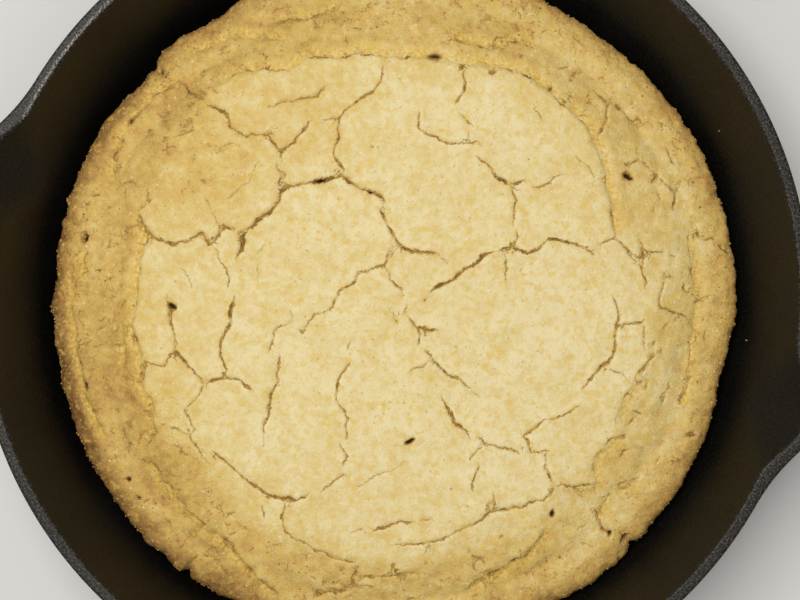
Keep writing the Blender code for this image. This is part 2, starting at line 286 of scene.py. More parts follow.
def soften_root(mesh, reach, rounds):
    """Smooths the mesh where the handle meets the wall, as the fillet of a casting."""
    shape = bmesh.new()
    shape.from_mesh(mesh)
    shape.verts.ensure_lookup_table()
    at = np.array([v.co for v in shape.verts])
    out = np.hypot(at[:, 0], at[:, 1])
    seam = np.abs(out - wall_radius(at[:, 2], False)) < reach
    half = (HANDLE_NECK + HANDLE_FLARE) / 2
    deep = (HANDLE_THICK + HANDLE_ROOT_THICK) / 2
    low = HANDLE_Z - HANDLE_ROOT_THICK / 4
    ring = np.hypot(np.maximum(np.abs(at[:, 0]) - half + deep, 0), at[:, 2] - low)
    near = seam & (at[:, 1] < 0) & (np.abs(ring - deep) < 1.6 * reach)
    chosen = [shape.verts[i] for i in np.flatnonzero(near)]
    for _ in range(rounds):
        bmesh.ops.smooth_vert(
            shape, verts=chosen, factor=0.5, use_axis_x=True, use_axis_y=True, use_axis_z=True,
        )
    shape.to_mesh(mesh)
    shape.free()


handle = closed_object("skillet_handle", handle_grid())
combine(handle, "DIFFERENCE", closed_object("wall_core", wall_core_grid()))
combine(handle, "DIFFERENCE", closed_object("hanging_hole", hole_grid()))
combine(skillet, "UNION", handle)
soften_root(skillet.data, reach=3.5 * MM, rounds=10)
skillet.data.shade_smooth()


def linear(hex_colour):
    """An sRGB hex colour as the linear RGBA that shaders take."""
    values = [int(hex_colour[i:i + 2], 16) / 255 for i in (1, 3, 5)]
    return (*[v / 12.92 if v <= 0.04045 else ((v + 0.055) / 1.055) ** 2.4 for v in values], 1.0)


def add(tree, kind, inputs=None, out=0, stops=(), **settings):
    """Adds a shader node and returns one of its outputs: inputs are values or other nodes' outputs,
    stops are a ramp's (position, hex colour), and settings are the node's own properties."""
    made = tree.nodes.new("ShaderNode" + kind)
    for key, value in settings.items():
        setattr(made, key, value)
    for key, value in (inputs or {}).items():
        if isinstance(value, bpy.types.NodeSocket):
            tree.links.new(value, made.inputs[key])
        else:
            made.inputs[key].default_value = value
    for _ in stops[2:]:
        made.color_ramp.elements.new(0.5)
    for place, (position, colour) in enumerate(stops):
        made.color_ramp.elements[place].position = position
        made.color_ramp.elements[place].color = linear(colour)
    return made.outputs[out]


def overlap(tree, *ranges, most=1.0):
    """How far several things hold at once: each (value, low, high) is carried from low..high to 0..1,
    and they are multiplied with the most."""
    share = most
    for value, low, high in ranges:
        part = add(tree, "MapRange", {"Value": value, "From Min": low, "From Max": high})
        share = add(tree, "Math", {0: share, 1: part}, operation="MULTIPLY")
    return share


def layered(tree, colour, layers):
    """Lays colours over one another: each layer is how much of it shows, 0 to 1, and its colour."""
    for shown, over in layers:
        colour = add(tree, "Mix", {0: shown, 6: colour, 7: over}, 2, data_type="RGBA")
    return colour


def new_material(name):
    """An empty material, its node tree and its surface shader."""
    made = bpy.data.materials.new(name)
    made.use_nodes = True
    return made, made.node_tree, made.node_tree.nodes["Principled BSDF"]


def seasoned_cast_iron():
    """Sand-cast iron under baked-on oil: brown-black, satin, pebbled by the sand's grain, rubbed grey
    where hands and lids touch the rim, and brighter with light specks along one stretch of the rim's
    inner edge, which is a painted highlight."""
    made, tree, shader = new_material("seasoned_cast_iron")
    place = add(tree, "TexCoord", out="Object")
    wear_and_highlight = add(tree, "Attribute", out="Fac", attribute_name="wear_and_highlight")
    cloud, pebble, sand = (
        add(tree, "TexNoise", {"Vector": place, "Scale": 1 / (size * MM), "Detail": detail})
        for size, detail in ((30, 4.0), (1.3, 3.0), (0.6, 2.0))
    )
    oil = add(tree, "ValToRGB", {"Fac": cloud}, stops=((0.35, "#080706"), (0.65, "#0d0b08")))
    worn = ((0.4, "#110f0c"), (0.52, "#27221b"), (0.63, "#5e574b"))
    worn = add(tree, "ValToRGB", {"Fac": sand}, stops=worn)
    # over the oil: grain speckle, the rim's grey wear, and a painted highlight of light specks on its inner
    # edge
    colour = layered(tree, oil, (
        (overlap(tree, (sand, 0.52, 0.7), most=0.5), linear("#302a1f")),
        (wear_and_highlight, worn),
        (overlap(tree, (wear_and_highlight, 0.7, 0.98), (sand, 0.42, 0.6)), linear("#a09a8c")),
    ))
    tree.links.new(colour, shader.inputs["Base Color"])
    shade = {"Value": cloud, "From Min": 0.3, "From Max": 0.7, "To Min": 0.42, "To Max": 0.58}
    tree.links.new(add(tree, "MapRange", shade), shader.inputs["Roughness"])
    shader.inputs["Metallic"].default_value = 0.1
    shader.inputs["Specular IOR Level"].default_value = 0.32
    speck = add(tree, "TexVoronoi", {"Vector": place, "Scale": 1 / (1.1 * MM)})
    relief = add(tree, "Math", {0: pebble, 1: speck}, operation="ADD")
    bump = add(tree, "Bump", {"Height": relief, "Strength": 0.35, "Distance": 0.25 * MM})
    tree.links.new(bump, shader.inputs["Normal"])
    return made


def set_values(mesh, name, values):
    """Gives each of the mesh's points a value, which the material reads by its name."""
    mesh.attributes.new(name, "FLOAT", "POINT").data.foreach_set("value", values.astype(np.float32))


RIM_RUBBED = 0.65                 # how far the rim's top is rubbed all round
HIGHLIGHT_TOWARDS = math.radians(162)  # where the painted highlight lies along the rim's inner edge
HIGHLIGHT_WIDTH = 0.45 * MM


def rim_wear_and_highlight(mesh):
    """How far the rim's top is rubbed: RIM_RUBBED all round as real wear, and up to 1 at its inner edge
    as a painted highlight, a bell across it and the tenth power of a cosine along it."""
    at = np.zeros(len(mesh.vertices) * 3)
    mesh.vertices.foreach_get("co", at)
    x, y, z = at.reshape(-1, 3).T
    in_pan = y > -RIM_RADIUS - SPOUT_REACH / 2
    inner = np.exp(-((np.hypot(x, y) - RIM_RADIUS + WALL - RIM_EDGE) / HIGHLIGHT_WIDTH) ** 2)
    highlight_stretch = np.clip(np.cos(np.arctan2(y, x) - HIGHLIGHT_TOWARDS), 0, 1) ** 10
    wear_and_highlight = RIM_RUBBED + (1 - RIM_RUBBED) * inner * highlight_stretch
    return ease((z - RIM_HEIGHT + RIM_EDGE) / RIM_EDGE) * wear_and_highlight * in_pan


set_values(skillet.data, "wear_and_highlight", rim_wear_and_highlight(skillet.data))
skillet.data.materials.clear()
skillet.data.materials.append(seasoned_cast_iron())
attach(skillet, "root")
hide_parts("skillet")

# --- the loaf: its shape ---------------------------------------------------------------------
# A batter of yellow cornmeal, poured into the hot pan and baked there. The middle rose last and
# broke away from the set outer band, so a plateau of cracked plates stands above a stepped rim.
# Lengths in this section are in mm in the loaf's own axes, which are turned in the pan.

loaf_low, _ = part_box("cornbread")
LOAF_TURN = math.radians(17)
LOAF_FLOOR = loaf_low[2] / MM
EDGE_HEIGHT = 20.5
SHOULDER = 13.5
SHOULDER_ARC = 1.28 * SHOULDER    # its rounding measured along the surface
CROWN = 33.8
DOME = 1.8
BAND_SLOPE = 4.5

# (direction in degrees, radius) of the loaf's widest line
OUTLINE = (
    (0, 112.0), (22, 111.2), (40, 109.8), (55, 108.6), (75, 110.0), (95, 110.4), (113, 109.6),
    (123, 107.8), (130, 109.6), (138, 108.0), (150, 110.2), (170, 110.2), (195, 111.2),
    (215, 112.0), (232, 112.2), (250, 111.6), (270, 111.0), (290, 111.6), (306, 112.8),
    (320, 112.0), (334, 111.0), (348, 109.8),
)
# (direction, radius, fall) of the line where the plateau ends
BREAK = (
    (0, 80, 0.6), (18, 75, 1.2), (38, 84, 1.3), (55, 83, 1.2), (75, 78, 1.3), (90, 77, 1.1),
    (108, 81, 0.9), (130, 87, 0.8), (150, 87, 1.1), (172, 82.5, 1.7), (195, 83, 1.7),
    (208, 86, 1.4), (222, 79, 1.3), (236, 74, 1.8), (250, 83, 1.5), (268, 83, 0.8),
    (290, 77, 1.1), (310, 81, 1.3), (332, 81, 1.1), (348, 83, 0.7),
)
# Dents in the outline: (direction in degrees, depth, half width in degrees)
DENTS = ((135.8, 1.4, 0.9), (233.0, 2.0, 0.7), (314.3, 2.4, 0.8), (31.0, 0.5, 1.2), (159.5, 0.4, 1.2))


def around(table, degrees, column):
    """A column of a table that goes once round, eased between its rows."""
    degrees = np.mod(degrees, 360)
    starts = np.array([row[0] for row in table] + [table[0][0] + 360], float)
    values = np.array([row[column] for row in table] + [table[0][column]], float)
    k = np.clip(np.searchsorted(starts, degrees, side="right") - 1, 0, len(table) - 1)
    share = ease((degrees - starts[k]) / (starts[k + 1] - starts[k]))
    return values[k] + (values[k + 1] - values[k]) * share


def edge_radius(degrees):
    """The widest line's radius: the outline's table, less its dents, with a crumbly waver."""
    turn = np.radians(degrees)
    x, y = 110 * np.cos(turn), 110 * np.sin(turn)
    radius = around(OUTLINE, degrees, 1)
    for middle, depth, half in DENTS:
        away = (np.mod(degrees - middle + 180, 360) - 180) / half
        radius = radius - depth * np.exp(-away ** 2)
    return radius + 0.7 * rough_noise(x, y, 6.0, 11, 4, 0.7)


def smooth_form(x, y):
    """Height of the loaf without its cracks: a low dome, an eased fall at the break, a band that
    slopes to the shoulder, and the shoulder's quarter round; with the share of the shoulder passed."""
    degrees = np.degrees(np.arctan2(y, x))
    r = np.hypot(x, y)
    edge = edge_radius(degrees)
    cliff = around(BREAK, degrees, 1)
    fall = around(BREAK, degrees, 2)
    shoulder = edge - SHOULDER
    swell = 0.5 * np.sin(x / 29 + 0.8) * np.cos(y / 34 - 0.5) + 0.35 * rough_noise(x, y, 24.0, 21, 2)
    dome = CROWN - DOME * (np.minimum(r, cliff) / 80) ** 2 + swell
    band = BAND_SLOPE * np.clip((r - cliff) / (shoulder - cliff), 0, 1) ** 1.6
    low = dome - 0.5 * fall * ease((r - cliff + 7) / 14) - band
    past = np.clip((r - shoulder) / SHOULDER, 0, 1)
    height = EDGE_HEIGHT + (low - EDGE_HEIGHT) * (1 - past ** 2) ** 0.4
    return height, past


# --- the loaf: cracks and ledges -------------------------------------------------------------
# A split opens where the drying crust tears as the crumb below still rises. Wide ones show the
# crumb inside, browner and darkened with depth by painted shade, hairlines only the skin's tear.
# A ledge is a plate's edge that has lifted.

# Splits: (width, how much higher the left side stands, route)
SPLITS = (
    (1.9, 0.5, ((-50, 11.5), (-47.5, 19.5), (-44, 25), (-36, 31), (-34.5, 35), (-27, 37.5), (-15.5, 38.8),
                (-8, 34.3), (-2.5, 31.5), (-2, 30))),
    (1.5, -0.3, ((-4.5, 28.8), (-2.5, 26), (1, 18.3), (6, 15.3), (14, 15.2), (15.5, 13))),
    (2.0, 0.4, ((-68, 70), (-65.5, 67), (-60, 62.5))),
    (1.5, 0.4, ((-60, 62.3), (-52.3, 59.5), (-51.5, 55), (-47.3, 52), (-39.5, 53),
                (-35.5, 46.2), (-30.5, 50.5), (-25.5, 57.5))),
    (1.1, 0.2, ((-3, 75), (-3.5, 70), (-6.5, 66), (-13.5, 61.5), (-17, 58), (-17.5, 52), (-18.5, 46.5),
                (-15.5, 39.5))),
    (0.9, 0.0, ((-36.5, 44), (-37.5, 42), (-34.3, 39.8), (-36, 37), (-35, 35))),
    (0.7, 0.0, ((-17, 58), (-19, 57.3), (-23, 56.7))),
    (0.9, 0.3, ((8.5, 60), (8.5, 54.5), (13, 51.8), (19, 49.5), (26.5, 49.7), (29, 48.5))),
    (1.1, 0.1, ((24, 74), (23, 71), (23.2, 66), (19.8, 62))),
    (0.7, 0.0, ((21, 60), (24, 56), (26, 54.3))),
    (1.6, 0.4, ((26.5, 45.8), (30.5, 41.5), (35.5, 38), (38, 36.3))),
    (1.3, 0.0, ((38, 36.3), (42.5, 37.8))),
    (1.2, -0.3, ((38, 36.3), (38.3, 33.5), (39, 31), (38, 23))),
    (0.9, 0.0, ((39.5, 22), (39, 18), (36, 14.7))),
    (0.8, 0.0, ((44, 36), (47, 34.8), (51, 38), (55, 39.7))),
    (1.0, -0.3, ((65, 67), (69, 62.5), (69.3, 57), (65.7, 53), (65.7, 51.5))),
    (0.8, 0.0, ((74, 60.5), (79.5, 55.5))),
    (0.8, 0.2, ((75, 41.8), (79.5, 44.5), (78.5, 49.5))),
    (0.6, 0.2, ((79.5, 44.5), (83, 42), (90, 34))),
    (1.2, 0.2, ((88.5, 49.5), (91.3, 42.5))),
    (1.2, 0.0, ((91.2, 36), (90.9, 32), (90.5, 28))),
    (1.4, 0.3, ((-82, 25.5), (-78.5, 20.5), (-73, 18.3), (-70, 16.6), (-65, 19), (-61, 20.5), (-58.5, 17),
                (-54.5, 22.2), (-50, 22.3))),
    (0.6, 0.0, ((-54.5, 22.5), (-58, 28))),
    (0.8, 0.0, ((-50, 20.5), (-47.5, 20.2))),
    (0.7, 0.2, ((-57, 16.5), (-53, 10), (-52.7, 3))),
    (1.3, 0.4, ((-50.3, 1.5), (-52, -8.5), (-54.5, -14.5), (-54, -20), (-53.5, -25.5))),
    (1.4, -0.4, ((-72, 1.5), (-70.2, -9), (-69.5, -16.5), (-64, -22.5), (-60.5, -27.5))),
    (0.8, 0.2, ((-70, -16.5), (-73, -21.5), (-78, -20.8), (-80, -27))),
    (1.5, 0.4, ((-60, -27.5), (-54.5, -25.5), (-49.5, -26), (-44.5, -29.8))),
    (0.9, 0.0, ((-60, -27.5), (-66.5, -35.5), (-63.7, -42), (-65, -43.3))),
    (0.8, 0.2, ((-71.5, -41), (-65, -43.8), (-61.5, -49.3), (-58.5, -53))),
    (1.5, 0.7, ((-58, -48.5), (-53, -52), (-47.5, -57.5), (-39, -63), (-31, -65), (-26, -61.5))),
    (1.1, 0.4, ((-34.5, -65), (-35, -72), (-32, -76.5), (-25, -80.5), (-14, -84), (-11.5, -85))),
    (0.6, 0.0, ((-42, -66), (-41, -71))),
    (0.8, 0.0, ((-54, -70.5), (-50, -68.5))),
    (0.8, 0.0, ((-50, -75), (-53, -76.7))),
    (0.8, 0.2, ((-1, 16), (-3, 10.5), (-8, 9), (-11, 9), (-12.5, 5.5), (-17, 3), (-19, -1.5), (-26, -7),
                (-28.5, -11), (-31, -9.5))),
    (0.9, -0.2, ((-2.3, 9.8), (-1, 5.7), (3, 3.5), (3.5, -0.5))),
    (0.6, 0.0, ((5, -1.5), (3.3, -5))),
    (1.4, -0.4, ((4.5, -5.3), (8.5, -9), (15, -10))),
    (1.1, 0.0, ((8.7, -10), (8, -15))),
    (1.4, -0.3, ((10, -16), (14.5, -21.8), (19, -25), (25, -29))),
    (0.7, 0.0, ((11.5, -20.3), (5, -23.3))),
    (1.8, -0.4, ((11.5, 2), (17, 5.3), (23.5, 9.7), (28.5, 13.3), (33, 15))),
    (1.3, -0.3, ((33, 15), (38.5, 16), (44, 15), (50, 19), (58, 17.5), (65, 14))),
    (0.9, 0.0, ((36, 14.5), (35.7, 8), (36, 5))),
    (1.2, -0.2, ((66, 17), (71, 18.7), (76.5, 14), (78.5, 11))),
    (1.4, 0.4, ((78.9, 19.3), (79.5, 15.7), (79.5, 11.6), (80.1, 7.6), (80.8, 2.8))),
    (0.7, 0.2, ((78.5, 15.5), (87.5, 15.2))),
    (0.6, 0.0, ((89, 14.2), (91, 13.5))),
    (1.2, 0.3, ((70.5, 1), (72, -3.5), (72.5, -9), (70, -19), (66, -22.5), (60, -29.5))),
    (0.9, 0.2, ((73, -7.7), (79, -7.3), (81, -6.5))),
    (0.7, 0.0, ((87, 9), (86.5, 3), (85.3, -3.5))),
    (1.2, 0.2, ((85.3, -3.5), (90, -4.3), (95.5, -7))),
    (1.0, 0.0, ((97.2, -6), (97.2, -1.7), (100, 0.3), (103.3, 0.8))),
    (1.0, 0.0, ((81, -8.7), (80.3, -12), (81, -16.5))),
    (1.0, 0.0, ((84, -17), (80, -22), (77.5, -25))),
    (1.4, 0.0, ((96.5, -25), (95, -29), (92, -35))),
    (1.0, 0.3, ((67, -48), (69.8, -45.4), (73, -45.6), (76, -44.2))),
    (0.8, 0.0, ((63.5, -67.5), (66, -69), (66.5, -72), (67.8, -74))),
    (0.6, 0.0, ((69, -22), (75, -25.5))),
    (0.7, 0.0, ((77, -36), (80, -37.3))),
    (0.7, 0.0, ((-32.5, -3.5), (-32, -7.5))),
    (0.8, 0.0, ((-33.5, -8), (-37, -10), (-39.5, -17.5))),
    (1.4, -0.4, ((-36, -17.5), (-36.2, -26), (-39, -32), (-41, -43.5))),
    (0.7, 0.0, ((-13, -13), (-14.5, -17))),
    (1.1, -0.2, ((-13.5, -20), (-17, -26), (-18, -32.5), (-15, -38), (-15, -45))),
    (1.0, -0.2, ((-17, -46), (-15, -50.7), (-16, -54))),
    (0.9, 0.2, ((-14.5, -55.8), (-20, -59.5), (-23, -62))),
    (1.7, -0.5, ((15.5, -31), (20.5, -39.3), (24.8, -44.8))),
    (1.4, -0.4, ((26.5, -44), (29, -47), (34.5, -47), (41, -49.7))),
    (1.1, 0.0, ((29, -47), (25, -50.5), (24.7, -52))),
    (0.7, 0.0, ((27.7, -53), (25.5, -59.5), (26, -62))),
    (0.8, 0.0, ((32, -61.5), (32.3, -67.3), (35.5, -68))),
    (1.0, -0.2, ((49, -38.3), (41.5, -44), (45, -48.8), (50.5, -49))),
    (0.9, 0.0, ((51, -39), (57, -35), (60, -34.3))),
    (1.4, 0.4, ((49.3, -51), (49.3, -54), (52, -60))),
    (1.9, 0.3, ((52, -60), (58, -60.3), (64, -60))),
    (0.6, 0.0, ((-14, -75), (-9, -73.8))),
    (1.2, 0.5, ((-6.5, -74.3), (0, -72), (7.5, -71.5))),
    (0.8, 0.4, ((9, -70.5), (13, -70))),
    (1.1, 0.5, ((0.5, -78.5), (11, -78.3), (19, -75.7), (27, -72), (31, -68.5), (42, -67), (50, -63.5),
                (52, -60.5))),
    (0.6, 0.0, ((10.7, -78.5), (10.3, -82))),
    (1.0, 0.3, ((-40, 61), (-36, 62.3), (-24, 65), (-21, 68))),
    (1.0, -0.2, ((-64, 58.5), (-64, 54.5), (-70, 51.3))),
    (1.6, 0.0, ((-105, 24.6), (-101, 23.9))),
    (1.4, 0.0, ((100, 19.1), (104.9, 19.6))),
    (1.6, 0.0, ((105.5, 17.6), (107.5, 16), (110, 15.2))),
    (1.5, 0.5, ((-76, 76), (-73.7, 71.5), (-70, 70))),
    (1.6, 0.0, ((-68, -89), (-63, -83))),
    (1.6, 0.0, ((77, -79), (73, -75))),
    (1.1, 0.5, ((-11.3, -90.4), (-4, -89.8), (2.5, -88.8), (9.7, -88.6))),
    (1.3, 0.3, ((-10.8, -85.5), (-12.2, -89), (-11.8, -93))),
    (1.5, 0.0, ((-25.3, -97.5), (-24.8, -94.5), (-19, -94.3), (-13.5, -93.8))),
    (1.1, 0.2, ((-78.5, -51), (-73.5, -57.5))),
    (1.3, 0.2, ((-64.5, -69), (-62, -72), (-59.5, -74))),
    (1.2, 0.2, ((-42.7, -90.5), (-40, -93.5), (-37.3, -96))),
    (1.2, 0.2, ((-60, -82), (-57, -84.5), (-54.5, -88), (-51.5, -90.5))),
    (1.3, 0.3, ((-82.5, -47), (-81, -43.8), (-77.5, -42))),
    (1.2, 0.0, ((-102.4, -15), (-101.8, -20))),
    (1.0, 0.0, ((-97.5, -34), (-95.5, -38))),
    (1.0, 0.2, ((-89, 36.5), (-85.5, 37), (-81, 35.5))),
    (1.2, 0.2, ((-78.3, 36), (-78.6, 31.5))),
    (1.6, 0.2, ((-86, 55.5), (-84, 58.5), (-81.5, 61))),
    (1.3, 0.2, ((-79, 64.5), (-75, 66.8), (-71, 69.3))),
    (1.3, 0.0, ((-90, 43.5), (-89.3, 46.5), (-88, 48.5))),
    (1.2, 0.2, ((-65, 78.5), (-61, 80.5), (-57, 83))),
    (1.1, 0.2, ((-41, 88), (-33, 89.8), (-26, 90.5), (-20, 93), (-17.5, 94.5))),
    (0.9, 0.0, ((32.3, 81.3), (33.5, 83), (37.3, 84.2))),
)

# Hairlines: routes of tears in the skin that have hardly opened
HAIRLINES = (
    ((-40, 53.5), (-36, 55.2)),
    ((-42.5, 44), (-45.5, 38.3), (-53, 31.5)),
    ((-50.3, 50.3), (-56.5, 46.3)),
    ((24.8, 53.5), (24.2, 50.5)),
    ((-1.5, -3), (-0.5, -5), (2, -8)),
    ((-40, 18), (-43, 14.5)),
    ((-43, 12), (-43, 5)),
    ((4.5, -51.5), (0, -54.5), (-5, -57), (-11.5, -60)),
    ((2, 16.5), (-1.5, 12.5)),
    ((15.5, 13), (17.5, 11)),
    ((-58, 28), (-60, 33)),
    ((-41, -43.5), (-41.5, -48)),
    ((25, -29), (28, -32)),
    ((-75, 60), (-70, 57)),
    ((-68, 10), (-64, 3)),
    ((58, 46), (63, 42), (64, 36)),
    ((45, 62), (48, 57)),
    ((-92, 8), (-89, -6), (-91, -15)),
    ((-60, 88), (-52, 93)),
    ((28, 92), (38, 89)),
    ((88, -30), (85, -38)),
    ((60, -78), (66, -80)),
    ((-20, -92), (-6, -94)),
    ((20, -90), (34, -92)),
    ((-88, -40), (-84, -52)),
)

# Ledges: (fall, route), each with the loaf's middle on its left
LEDGES = (
    (0.9, ((72, 19), (69.5, 28), (68, 40), (66, 46), (61, 56), (55, 62), (44, 70), (38, 73), (25, 74),
           (12, 76), (0, 77), (-11, 78.7), (-20, 76.7), (-28, 76.3), (-33, 72.7), (-40, 74), (-50, 72),
           (-56, 68))),
    (0.6, ((47, 81), (40, 83.5), (32, 80.5), (17, 83))),
    (0.6, ((-16, 95), (-24, 90.3), (-40, 88))),
    (0.8, ((-33.5, 80.5), (-37.5, 83.5), (-53, 83.5), (-67, 77.5))),
    (0.9, ((-70, 70), (-80, 62.5), (-87, 52), (-90, 42), (-89.5, 37))),
    (1.3, ((-82, 28), (-78, 20.5), (-80, 10), (-82, 0), (-83.5, -8), (-81, -15), (-80, -27), (-77, -34),
           (-76, -43), (-80.5, -48.5))),
    (1.3, ((-79, -50.5), (-74.2, -57), (-66, -66.5), (-59.5, -73.8), (-54, -78), (-48, -85),
           (-42.7, -90.8), (-37, -96))),
    (0.8, ((-99.3, 17), (-98.6, 8), (-98.3, -1))),
    (1.0, ((-104.5, 12.5), (-103.3, 0), (-102.4, -16.5), (-100, -28.5), (-96, -37.5), (-91, -47))),
    (0.5, ((-86.5, -5), (-87, -10), (-85, -16.5), (-86, -20), (-85, -24))),
    (0.5, ((-95, -32), (-95, -37))),
    (0.9, ((22, -94.5), (28, -91), (34.5, -86.5), (42, -83), (46, -78), (49.5, -72.5))),
    (0.6, ((64.5, -63), (65, -55), (65, -50), (69.5, -45.3), (75.5, -43.5))),
    (0.6, ((71, -40.5), (73, -35), (76, -30), (78, -24))),
    (0.3, ((91.5, -36), (94, -29), (96.3, -9), (97, -1), (96, 9.5), (95.3, 20), (96.5, 27))),
    (0.5, ((67, -73), (64.5, -68), (67, -68), (70.5, -60.5), (80, -57.5))),
)

# Pits and popped bubbles: (x, y, half length, half width, direction in degrees, depth)
PITS = (
    (5.4, -45.6, 1.9, 0.8, 25, 2.6), (-70.5, -2.5, 1.7, 1.0, -35, 2.4), (-23, 37.6, 2.2, 0.8, 5, 2.0),
    (-7, 33.8, 1.0, 0.6, 0, 1.6), (13.5, 77.5, 2.6, 1.2, 0, 1.5), (32, 72.5, 1.4, 0.9, 0, 1.2),
    (75.4, 39.1, 2.1, 1.0, -30, 2.6), (-99.5, 19.7, 2.2, 0.8, 75, 3.0), (-78, 31.5, 0.7, 0.7, 0, 1.4),
    (-85.5, -58.5, 1.1, 0.9, 0, 2.0), (-82.2, -64.6, 1.0, 0.8, 0, 2.0), (-98.5, -28, 1.0, 0.8, 40, 0.8),
    (-6.5, 48.5, 0.5, 0.5, 0, 0.8), (10.5, -0.5, 0.7, 0.45, 80, 1.2), (51.2, -69, 1.4, 0.9, 80, 2.0),
    (96.5, -44, 1.6, 1.5, 0, 1.1), (75.2, -77.8, 1.9, 1.2, 50, 3.2), (70.2, -75.9, 1.2, 0.8, 60, 2.0),
    (18.8, -61, 0.5, 0.5, 0, 0.7), (24.5, -81, 0.6, 0.5, 0, 0.8), (30.5, -66, 0.5, 0.5, 0, 0.7),
    (43.5, 44.5, 0.4, 0.4, 0, 0.6), (-64, 34, 0.5, 0.4, 0, 0.7), (62, 3, 0.4, 0.4, 0, 0.6),
    (-99.6, -28.3, 1.6, 0.9, -70, 2.4), (-97, 33.4, 0.6, 0.5, 0, 1.2), (-95.4, 33.5, 0.7, 0.5, 0, 1.2),
    (-84.8, 57.5, 1.3, 0.7, 50, 1.8), (50.4, 67.3, 1.0, 0.9, 60, 1.6), (40.5, 87.5, 1.6, 1.0, -60, 1.0),
    (67.8, -74.2, 0.8, 0.7, 0, 1.6), (-75.4, 74, 1.6, 0.8, -75, 2.6),
)


def torn(route, random, step=0.7):
    """A route cut into short steps and shifted sideways by rough noise, as dry crust tears: over 5 mm
    and over 2.3 mm, and not at all at its two ends."""
    route = np.array(route, float)
    lengths = np.concatenate([[0], np.cumsum(np.hypot(*np.diff(route, axis=0).T))])
    count = max(int(lengths[-1] / step), 3)
    at = np.linspace(0, lengths[-1], count + 1)
    line = np.stack([np.interp(at, lengths, route[:, 0]), np.interp(at, lengths, route[:, 1])], -1)
    along = np.gradient(line, axis=0)
    along /= np.hypot(*along.T)[:, None]
    shift = sum(
        height * np.interp(at, knots, random.uniform(-1, 1, len(knots)))
        for knots, height in (
            (np.arange(0, lengths[-1] + size, size), height)
            for size, height in ((5.0, 0.6), (2.3, 0.5))
        )
    )
    shift = shift * np.minimum(1, np.minimum(at, lengths[-1] - at) / 2)
    return line + np.stack([-along[:, 1], along[:, 0]], -1) * shift[:, None], at


def to_route(points, line):
    """For each point the nearest spot on a line: its distance, its side (1 is left), the way to it, and
    its place along the line counted in points."""
    start, run = line[:-1], np.diff(line, axis=0)
    offset = points[:, None] - start
    share = np.clip((offset * run).sum(-1) / (run ** 2).sum(-1), 0, 1)
    gap = offset - share[..., None] * run
    best = (gap ** 2).sum(-1).argmin(1)
    rows = np.arange(len(points))
    gap = gap[rows, best]
    side = np.sign(run[best, 0] * gap[:, 1] - run[best, 1] * gap[:, 0])
    return np.hypot(*gap.T), side, -gap, best + share[rows, best]


def band_tears(random, count=170):
    """Short gashes all over the outer band, most of them along it and some across."""
    rows = []
    for _ in range(count):
        turn = random.uniform(0, 2 * math.pi)
        middle = random.uniform(84, 104) * np.array([math.cos(turn), math.sin(turn)])
        run = turn + math.pi / 2 + random.choice([0.0, 0.0, 0.0, 0.0, 1.2, -0.9]) + random.normal(0, 0.25)
        half = random.uniform(1.0, 4.5) / 2 * np.array([math.cos(run), math.sin(run)])
        bend = random.normal(0, 0.5, 2)
        route = (middle - half, middle + bend, middle + half)
        rows.append((random.uniform(0.5, 1.3), random.normal(0, 0.25), route))
    return rows


# Sizes in mm of how the crust tears and gives way
OPENING = 0.82            # how far the tears have opened, as a share of the widths above
FAR = 2.5                 # a tear further off than this changes nothing in the crust's colour
HAIRLINE_WIDTH = 0.34
PIT_WIDTH = 2.1           # the tear through a pit, as a share of the pit's half width
LEDGE_WIDTH, LEDGE_WIDENING = 0.8, 0.7        # a ledge's tear is wider where it falls further
GAPPED, HELD_OPEN = -0.9, 0.45    # least share of its width that a ledge's tear, and any other, keeps
WAVER_STEP = 2.2          # a tear's width changes over this length
FADE = 5                  # a lift dies away over this length at a tear's ends
LEDGE_STEP, LEDGE_REACH = 0.9, 6      # half width of a ledge's step, and how far its lift carries
SPLIT_STEP, SPLIT_REACH = 0.5, 5
LIP_IN, LIP_WIDTH = 4.0, 1.3          # the curled lip stands this far in from the step
BURR_HEIGHT, BURR_WIDTH = 0.16, 0.6   # the skin's raised edge beside a split
CRUMB_OUT, CRUMB_WIDTH = 1.3, 1.3     # the strip of bare crumb below a ledge
LIP_BROWN_IN, LIP_BROWN_WIDTH = 4.4, 1.9      # the strip of its lip that is coloured browner
SPLIT_DEPTH, SPLIT_STEEPNESS = 0.25, 1.25     # a split is this deep, and this times its half width
DRAW, DRAW_REACH = 0.78, 2.2          # how the mesh is drawn to the tears


def prepare(random):
    """Every split, gash, pit, hairline and ledge as (kind, line, half width along it, lift). Pits and
    the band's gashes are lens-shaped, the others taper over their last few mm."""
    lines = []
    pits = []
    for px, py, length, width, degrees, _ in PITS:
        run = length * np.array([math.cos(math.radians(degrees)), math.sin(math.radians(degrees))])
        pits.append((PIT_WIDTH * width, 0.0, (np.array([px, py]) - run, np.array([px, py]) + run)))
    for kind, rows in (
        ("split", SPLITS),
        ("gash", band_tears(random)),
        ("pit", pits),
        ("hairline", [(HAIRLINE_WIDTH, 0.0, route) for route in HAIRLINES]),
        ("ledge", [(LEDGE_WIDTH + LEDGE_WIDENING * fall, fall, route) for fall, route in LEDGES]),
    ):
        for width, lift, route in rows:
            line, at = torn(route, random)
            knots = np.arange(0, at[-1] + WAVER_STEP, WAVER_STEP)
            least = GAPPED if kind == "ledge" else HELD_OPEN
            waver = np.maximum(np.interp(at, knots, random.uniform(least, 1.2, len(knots))), 0.05)
            taper = (np.minimum(at, at[-1] - at) + 0.25) / min(1.0 + 1.6 * width, at[-1] / 3)
            taper = np.minimum(taper, 1)
            if kind in ("gash", "pit"):
                taper = np.sqrt(np.maximum(1 - (2 * at / at[-1] - 1) ** 2, 0.02))
            lines.append((kind, line, OPENING * width / 2 * waver * taper, lift))
    return lines


